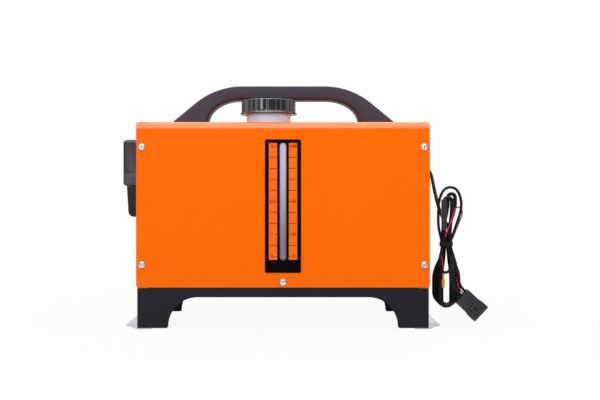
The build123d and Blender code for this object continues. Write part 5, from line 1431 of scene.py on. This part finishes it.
@dataclass
class BurnerUnit:
    """Burner, blower and casing that lie inside the cabinet."""

    makeup: tuple[tuple[Finish, tuple[str, ...]], ...] = (
        (Palette.zinc, ("heat_shield",)),
        (Palette.casing, ("heater_casing_lower", "heater_casing_upper", "outlet_hood",
                          "air_fan")),
        (Palette.cast, ("heat_exchanger", "blower_housing", "combustion_impeller",
                        "combustion_air_stub")),
        (Palette.flame_steel, ("burner", "exhaust_stub")),
        (Palette.ceramic, ("glow_plug",)),
        (Palette.steel, ("blower_motor", "motor_shaft")),
        (Palette.rubber, ("heater_gasket",)),
        (Palette.fastener, ("heater_bolts",)),
    )

    def build(self, shop: Workshop) -> None:
        """Dresses the unit's pieces by what they are made of."""
        for finish, names in self.makeup:
            shop.dress(finish, *names)


@dataclass
class AirPath:
    """Turning outlet louvre at the left end and intake grille at the right end."""

    edge: float = 0.3 * MM

    def build(self, shop: Workshop) -> None:
        """Rounds the mouldings' edges.

        Args:
            shop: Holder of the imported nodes.
        """
        shop.soften("outlet_ring", Palette.housing, self.edge)
        shop.soften("outlet_louvre", Palette.housing, self.edge, Body.LOUVRE)
        shop.soften("intake_grille", Palette.housing, self.edge)


@dataclass
class DisplayUnit:
    """Display box in its cradle, with a window and four keys."""

    edge: float = 0.3 * MM
    key_edge: float = 0.2 * MM
    board_x: float = -207.7 * MM
    control_x: float = 185.2 * MM
    keys: tuple[tuple[str, Finish, Body], ...] = (
        ("power_button", Palette.red_key, Body.POWER_KEY),
        ("down_button", Palette.grey_key, Body.DOWN_KEY),
        ("up_button", Palette.grey_key, Body.UP_KEY),
        ("set_button", Palette.grey_key, Body.SET_KEY),
    )

    def build(self, shop: Workshop) -> None:
        """Rounds the mouldings and keys, and dresses the boards and the window.

        Args:
            shop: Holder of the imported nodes.
        """
        shop.soften("display_cradle", Palette.cradle, self.edge)
        shop.soften("display_housing", Palette.housing, self.edge)
        shop.dress(Palette.lens, "display_lens")
        shop.dress(CircuitBoard("display_circuit", self.board_x), "display_board")
        shop.dress(CircuitBoard("control_circuit", self.control_x), "control_board")
        for name, finish, body in self.keys:
            shop.soften(name, finish, self.key_edge, body)


@dataclass
class Cables:
    """Power cable in its tied hank, sensor lead, red wire and what is on them.

    Sizes and routes are in millimetres, the three whole lengths in metres and angles in
    radians.
    """

    cable_diameter: float = 5.0
    lead_diameter: float = 3.8
    wire_diameter: float = 1.8
    gland_y: float = 45.0
    gland_z: float = 216.0
    gland_face: float = 201.0
    rear_y: float = -4.0
    layer_step: float = 6.0
    lean: float = -1.1
    waist_x: float = 229.4
    waist_z: float = 110.0
    waist_half: tuple[float, ...] = (5.2, 2.8, 4.6, 2.4, 5.0)
    waist_straight: float = 6.0
    top_x: float = 236.2
    top_z: float = 178.9
    top_half: tuple[float, ...] = (5.2, 5.6, 5.0, 5.4)
    top_side: tuple[float, ...] = (0.8, -4.6, 0.4, -4.2)
    top_drop: tuple[float, ...] = (0.0, 6.0, 0.0, 5.0)
    low_x: float = 229.6
    low_z: float = 23.4
    low_half: tuple[float, ...] = (17.6, 6.4, 13.8, 10.0)
    spread: float = 46.0
    last_spread: float = 34.0
    tail: float = 5.0
    plug_end: Point = PLUG_END
    plug_angle: float = math.radians(PLUG_ANGLE)
    wire_y: float = -31.9
    lead_y: float = -35.3
    tuck_x: float = 220.7
    tuck_y: float = -36.3
    tuck_bottom: float = 130.0
    end_cap_x: float = 220.4
    end_cap_top: float = 71.0
    power_length: float = 1.555
    lead_length: float = 0.354
    wire_length: float = 0.224
    wire_aside: float = 5.0
    lead_across: float = 8.0
    wire_across: float = 4.6
    straight: float = 10.0
    fold_gap: float = 1.0
    eighth: float = math.pi / 4
    tie_edge: float = 0.25
    plug_edge: float = 0.35
    small_edge: float = 0.3
    end_cap_edge: float = 0.5

    def plug_point(self, along: float, across: float, aside: float = 0.0) -> Point:
        """Places a point by its distances from the middle of the connector's cable end.

        Args:
            along: Distance towards the connector's mouth.
            across: Distance up across it.
            aside: Distance towards the cabinet's rear.

        Returns:
            The point in the shared frame.
        """
        cos, sin = math.cos(self.plug_angle), math.sin(self.plug_angle)
        x, y, z = self.plug_end
        return (x + along * cos - across * sin, y + aside, z + along * sin + across * cos)

    def fold(self, centre_x: float, centre_z: float, half: float, y: float,
             up: bool) -> list[Point]:
        """Six points round a half circle, each at the corner of tangents 45 degrees apart.

        Args:
            centre_x: Centre of the circle along X.
            centre_z: Centre of the circle along Z.
            half: Radius of the circle.
            y: Depth of the layer.
            up: Whether the fold bulges upwards and runs from left to right.

        Returns:
            The points in their order along the cable.
        """
        reach = half / math.cos(self.eighth / 2)
        angles = [self.eighth * (i + 0.5) for i in range(-1, 5)]
        turned = [math.pi - angle for angle in angles] if up else [-a for a in angles]
        return [(centre_x + reach * math.cos(a), y, centre_z + reach * math.sin(a))
                for a in turned]

    def hank_route(self) -> list[Point]:
        """Twenty points a loop: in at the waist, out to each fold, and one place forward
        with a slight lean on the way up to the upper fold.

        Returns:
            The points from the first loop's waist to the connector.
        """
        waist_low = self.waist_z - self.waist_straight
        waist_high = self.waist_z + self.waist_straight
        quarter = self.spread / 4
        y = self.rear_y
        waist_x, low_x, top_x = self.waist_x, self.low_x, self.top_x + self.lean
        right = waist_x + self.waist_half[0]
        route: list[Point] = []
        for top_half, side, drop, low_half, half, next_half in zip(
                self.top_half, self.top_side, self.top_drop, self.low_half,
                self.waist_half, self.waist_half[1:]):
            left = waist_x - half
            fold_x = top_x + side
            low_turn = self.low_z + low_half
            top_turn = self.top_z - drop - top_half
            top_start = top_turn - self.fold_gap
            climb = (top_start - waist_high) / 4
            low_right = low_x + low_half
            low_left = low_x - low_half
            route += [(right, y, waist_low - quarter),
                      (low_right, y, waist_low - 3 * quarter)]
            route += self.fold(low_x, low_turn, low_half, y, False)
            route += [(low_left, y, waist_low - 3 * quarter), (left, y, waist_low - quarter)]
            route.append((left, y, waist_high + climb))
            y -= self.layer_step
            waist_x, low_x = waist_x + self.lean, low_x + self.lean
            right = waist_x + next_half
            route.append((fold_x - top_half, y, top_start - climb))
            route += self.fold(fold_x, top_turn, top_half, y, True)
            route += [(fold_x + top_half, y, top_start - climb),
                      (right, y, waist_high + climb)]
            top_x += self.lean
        end_x = low_x + self.low_half[1]
        end_z = waist_low - self.last_spread - self.tail
        route += [(right, y, waist_low - self.last_spread / 4),
                  (end_x, y, waist_low - 3 * self.last_spread / 4), (end_x, y, end_z)]
        back = (self.plug_end[0] - end_x) * math.tan(self.plug_angle)
        return route + [(end_x, y, self.plug_end[2] - back), self.plug_end]

    def power_route(self) -> list[Point]:
        """From the gland down and forward into the hank, round it, and to the connector.

        Returns:
            The cord's control points.
        """
        y, z = self.gland_y, self.gland_z
        right = self.waist_x + self.waist_half[0]
        start_z = self.waist_z + self.waist_straight + self.cable_diameter
        free = [(self.gland_face, y, z), (206.6, y, z), (212.2, 44.4, 213.0),
                (215.6, 42.8, 207.4), (217.4, 38.0, 197.0), (219.0, 27.0, 179.0),
                (222.5, 13.0, 156.0), (227.5, 2.5, 141.5),
                (right, self.rear_y, start_z + 9.0), (right, self.rear_y, start_z)]
        return free + self.hank_route()

    def lead_route(self) -> list[Point]:
        """Out of the connector, up through the tie, over one wide loop, down through the
        tie, round a low fold and up into the tucked plug.

        Returns:
            The cord's control points.
        """
        y = self.lead_y
        across = self.lead_across
        return [self.plug_point(0, across), self.plug_point(-self.straight, across),
                (240.8, y + 2, 64.0),
                (236.2, y, 87.0), (228.0, y, 110.0), (234.0, y, 126.0), (240.5, y, 145.0),
                (244.4, y, 158.0), (244.6, y, 172.0), (237.5, y, 188.0), (222.0, y, 188.4),
                (213.6, y, 172.0), (212.8, y, 150.0), (212.9, y, 134.0), (216.8, y, 118.0),
                (218.9, y, 106.0), (215.6, y, 95.0), (214.0, y, 84.5), (216.0, y, 74.8),
                (222.2, y, 70.2), (228.6, y, 73.8), (231.0, y, 83.5), (228.4, y, 98.0),
                (222.6, y, 114.0), (self.tuck_x, self.tuck_y, 121.0),
                (self.tuck_x, self.tuck_y, self.tuck_bottom)]

    def wire_route(self) -> list[Point]:
        """Out of the connector, up through the tie, one small loop, and down to its cap.

        Returns:
            The cord's control points.
        """
        y = self.wire_y
        x = self.end_cap_x
        beside = (self.wire_across, self.wire_aside)
        return [self.plug_point(0, *beside), self.plug_point(-self.straight, *beside),
                (240.6, -27.5, 64.0), (236.8, y, 87.0), (229.6, y, 110.0), (234.7, y, 121.0),
                (240.0, y, 135.0), (244.8, y, 146.0), (246.8, y, 152.5), (245.8, y, 158.6),
                (241.4, y, 161.6), (236.8, y, 158.6), (233.8, y, 151.0), (230.4, y, 140.0),
                (225.4, y, 127.0), (220.4, y, 113.0), (217.4, y, 97.0), (219.6, y, 82.0),
                (x, y, self.end_cap_top)]

    def cord(self, name: str, route: Sequence[Point], diameter: float) -> bpy.types.Object:
        """A round cord on one smooth spline through the route's corners.

        Args:
            name: Name of the piece.
            route: Control points in millimetres.
            diameter: Diameter in millimetres.

        Returns:
            The curve's object.
        """
        curve = bpy.data.curves.new(name, "CURVE")
        curve.dimensions = "3D"
        curve.bevel_depth = diameter / 2 * MM
        curve.bevel_resolution = 5
        curve.resolution_u = 10
        curve.use_fill_caps = True
        spline = curve.splines.new("NURBS")
        spline.points.add(len(route) - 1)
        corners = np.hstack([np.array(route) * MM, np.ones((len(route), 1))])
        spline.points.foreach_set("co", corners.ravel())
        spline.order_u = 3
        spline.use_endpoint_u = True
        return new_object(name, curve)

    def build(self, shop: Workshop) -> None:
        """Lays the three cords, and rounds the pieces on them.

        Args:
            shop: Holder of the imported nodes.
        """
        tie = shop.soften("hank_tie", Palette.strap, self.tie_edge * MM)
        plug = shop.soften("power_connector", Palette.connector, self.plug_edge * MM)
        tucked = shop.soften("lead_plug", Palette.connector, self.small_edge * MM)
        end_cap = shop.soften("wire_end_cap", Palette.wire_cap, self.end_cap_edge * MM)
        gland = shop.soften("cable_gland", Palette.gland, self.small_edge * MM)
        power = shop.settle(self.cord("power_cord", self.power_route(), self.cable_diameter),
                            Palette.black_jacket, Body.CABINET,
                            ["power_cable", "cable_hank", "connector_lead"])
        lead = shop.settle(self.cord("sensor_cord", self.lead_route(), self.lead_diameter),
                           Palette.black_jacket, Body.CABINET, ["sensor_lead"])
        wire = shop.settle(self.cord("red_cord", self.wire_route(), self.wire_diameter),
                           Palette.red_jacket, Body.CABINET, ["red_wire"])
        [part * MM for part in self.power_route()[0]]
        [part * MM for part in self.lead_route()[0]]
        [part * MM for part in self.wire_route()[0]]


@dataclass(frozen=True)
class Lamp:
    """A rectangular soft lamp that looks at a point."""

    name: str
    place: Point
    size: tuple[float, float]
    power: float
    aim: Point = (0.0, 0.0, 0.16)
    diffuse: bool = True
    glossy: bool = True

    def hang(self) -> None:
        """Adds the lamp; it turns about Z by its way's heading less a quarter turn, and
        tips about X by the angle between its way and straight down."""
        data = bpy.data.lights.new(self.name, "AREA")
        data.shape = "RECTANGLE"
        data.size, data.size_y = self.size
        data.energy = self.power
        lamp = new_object(self.name, data)
        lamp.visible_diffuse, lamp.visible_glossy = self.diffuse, self.glossy
        lamp.location = self.place
        way = np.array(self.aim) - np.array(self.place)
        lamp.rotation_euler = (math.acos(-way[2] / np.linalg.norm(way)), 0.0,
                               math.atan2(way[1], way[0]) - math.pi / 2)


@dataclass
class Studio:
    """White floor and surround, soft lamps and the photograph's camera."""

    eye: Point = (6.6 * MM, -1218.0 * MM, 197.5 * MM)
    lens: float = 51.7
    shift_x: float = 0.02
    shift_y: float = -0.0325
    nearest: float = 10.0 * MM
    ambient: float = 0.56
    front_gloss: float = 0.12
    gloss_front: float = -0.5
    gloss_rear: float = 0.1
    floor_half: float = 6.0
    floor_drop: float = 0.2 * MM
    floor_tone: float = 0.55
    floor_roughness: float = 0.9
    floor_glow: float = 0.93
    shadow_near: float = 0.34
    shadow_far: float = 0.62
    lamps: tuple[Lamp, ...] = (
        Lamp("key", (-0.9, -1.7, 0.95), (0.7, 1.3), 11.5),
        Lamp("fill", (1.3, -1.5, 0.8), (0.6, 1.1), 8.5, glossy=False),
        Lamp("overhead", (0.0, -0.2, 1.2), (1.5, 0.7), 8.0, aim=(0.0, -0.1, 0.3)),
        Lamp("strip", (0.0, -0.25, 1.0), (1.5, 0.6), 6.0, aim=(0.0, -0.1, 0.3),
             diffuse=False),
        Lamp("brow", (0.0, -1.5, 1.2), (1.0, 0.8), 18.0, aim=(0.0, -0.07, 0.27),
             diffuse=False),
        Lamp("back", (0.2, 1.6, 1.6), (1.4, 1.0), 8.0),
    )

    def camera(self) -> None:
        """Level camera whose shift gives the photograph's framing."""
        data = bpy.data.cameras.new("eye")
        data.lens = self.lens
        data.shift_x, data.shift_y = self.shift_x, self.shift_y
        data.clip_start = self.nearest
        eye = new_object("eye", data)
        eye.location = self.eye
        eye.rotation_euler = (math.pi / 2, 0.0, 0.0)
        bpy.context.scene.camera = eye

    def surround(self) -> None:
        """World that is white where it is seen, dimmer where it lights, and in between for
        gloss that looks to the front."""
        world = bpy.data.worlds.new("surround")
        bpy.context.scene.world = world
        world.use_nodes = True
        tree = Tree(world.node_tree)
        strength = tree.ranged(tree.seen(), 0.0, 1.0, self.ambient, Ramp.STRAIGHT)
        _, rearward, _ = tree.parts(tree.place(Lay.DIRECTION))
        gloss = tree.ranged(rearward, self.gloss_front, self.gloss_rear, self.front_gloss,
                            Ramp.STRAIGHT)
        dimmed = 1.0 - tree.ray(Ray.GLOSSY) * (1.0 - gloss)
        background = tree.graph.nodes["Background"]
        tree.plug((1.0, 1.0, 1.0), background.inputs["Color"])
        tree.plug(strength * dimmed, background.inputs["Strength"])

    def floor(self) -> None:
        """White floor that keeps a faint shadow near the object and fades to plain white."""
        half, low = self.floor_half, -self.floor_drop
        mesh = bpy.data.meshes.new("floor")
        mesh.from_pydata([(-half, -half, low), (half, -half, low), (half, half, low),
                          (-half, half, low)], [], [(0, 1, 2, 3)])
        sketch = Sketch("white_floor")
        sketch.feed(Base_Color=(self.floor_tone,) * 3, Roughness=self.floor_roughness,
                    Specular_IOR_Level=0.0)
        away = sketch.node("ShaderNodeVectorMath", {"operation": "LENGTH"},
                           {"Vector": sketch.spot}, "Value")
        glowing = sketch.seen() * sketch.ranged(away, self.shadow_near, self.shadow_far,
                                                self.floor_glow)
        painted = Value(sketch, sketch.shader.outputs["BSDF"])
        glow = sketch.node("ShaderNodeEmission", {}, {}, "Emission")
        blend = sketch.node("ShaderNodeMixShader", {},
                            {"Fac": glowing, "Shader": painted, "Shader_001": glow},
                            "Shader")
        sketch.plug(blend, sketch.graph.nodes["Material Output"].inputs["Surface"])
        mesh.materials.append(sketch.material)
        floor = new_object("floor", mesh)

    def build(self) -> None:
        """Sets camera, surround, floor and lamps."""
        bpy.context.scene.view_settings.view_transform = "Standard"
        self.camera()
        self.surround()
        self.floor()
        for lamp in self.lamps:
            lamp.hang()


def main() -> None:
    """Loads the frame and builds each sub-assembly."""
    logging.basicConfig(level=logging.INFO, format="%(name)s: %(message)s")
    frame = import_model()
    Studio().build()
    shop = Workshop(frame)
    assemblies: tuple[SubAssembly, ...] = (
        Cables(), Plinth(), Cabinet(), LevelGauge(), CarryHandle(), FuelSystem(),
        BurnerUnit(), AirPath(), DisplayUnit())
    for assembly in assemblies:
        assembly.build(shop)
        LOG.info("%s is built", type(assembly).__name__)


if __name__ == "__main__":
    main()
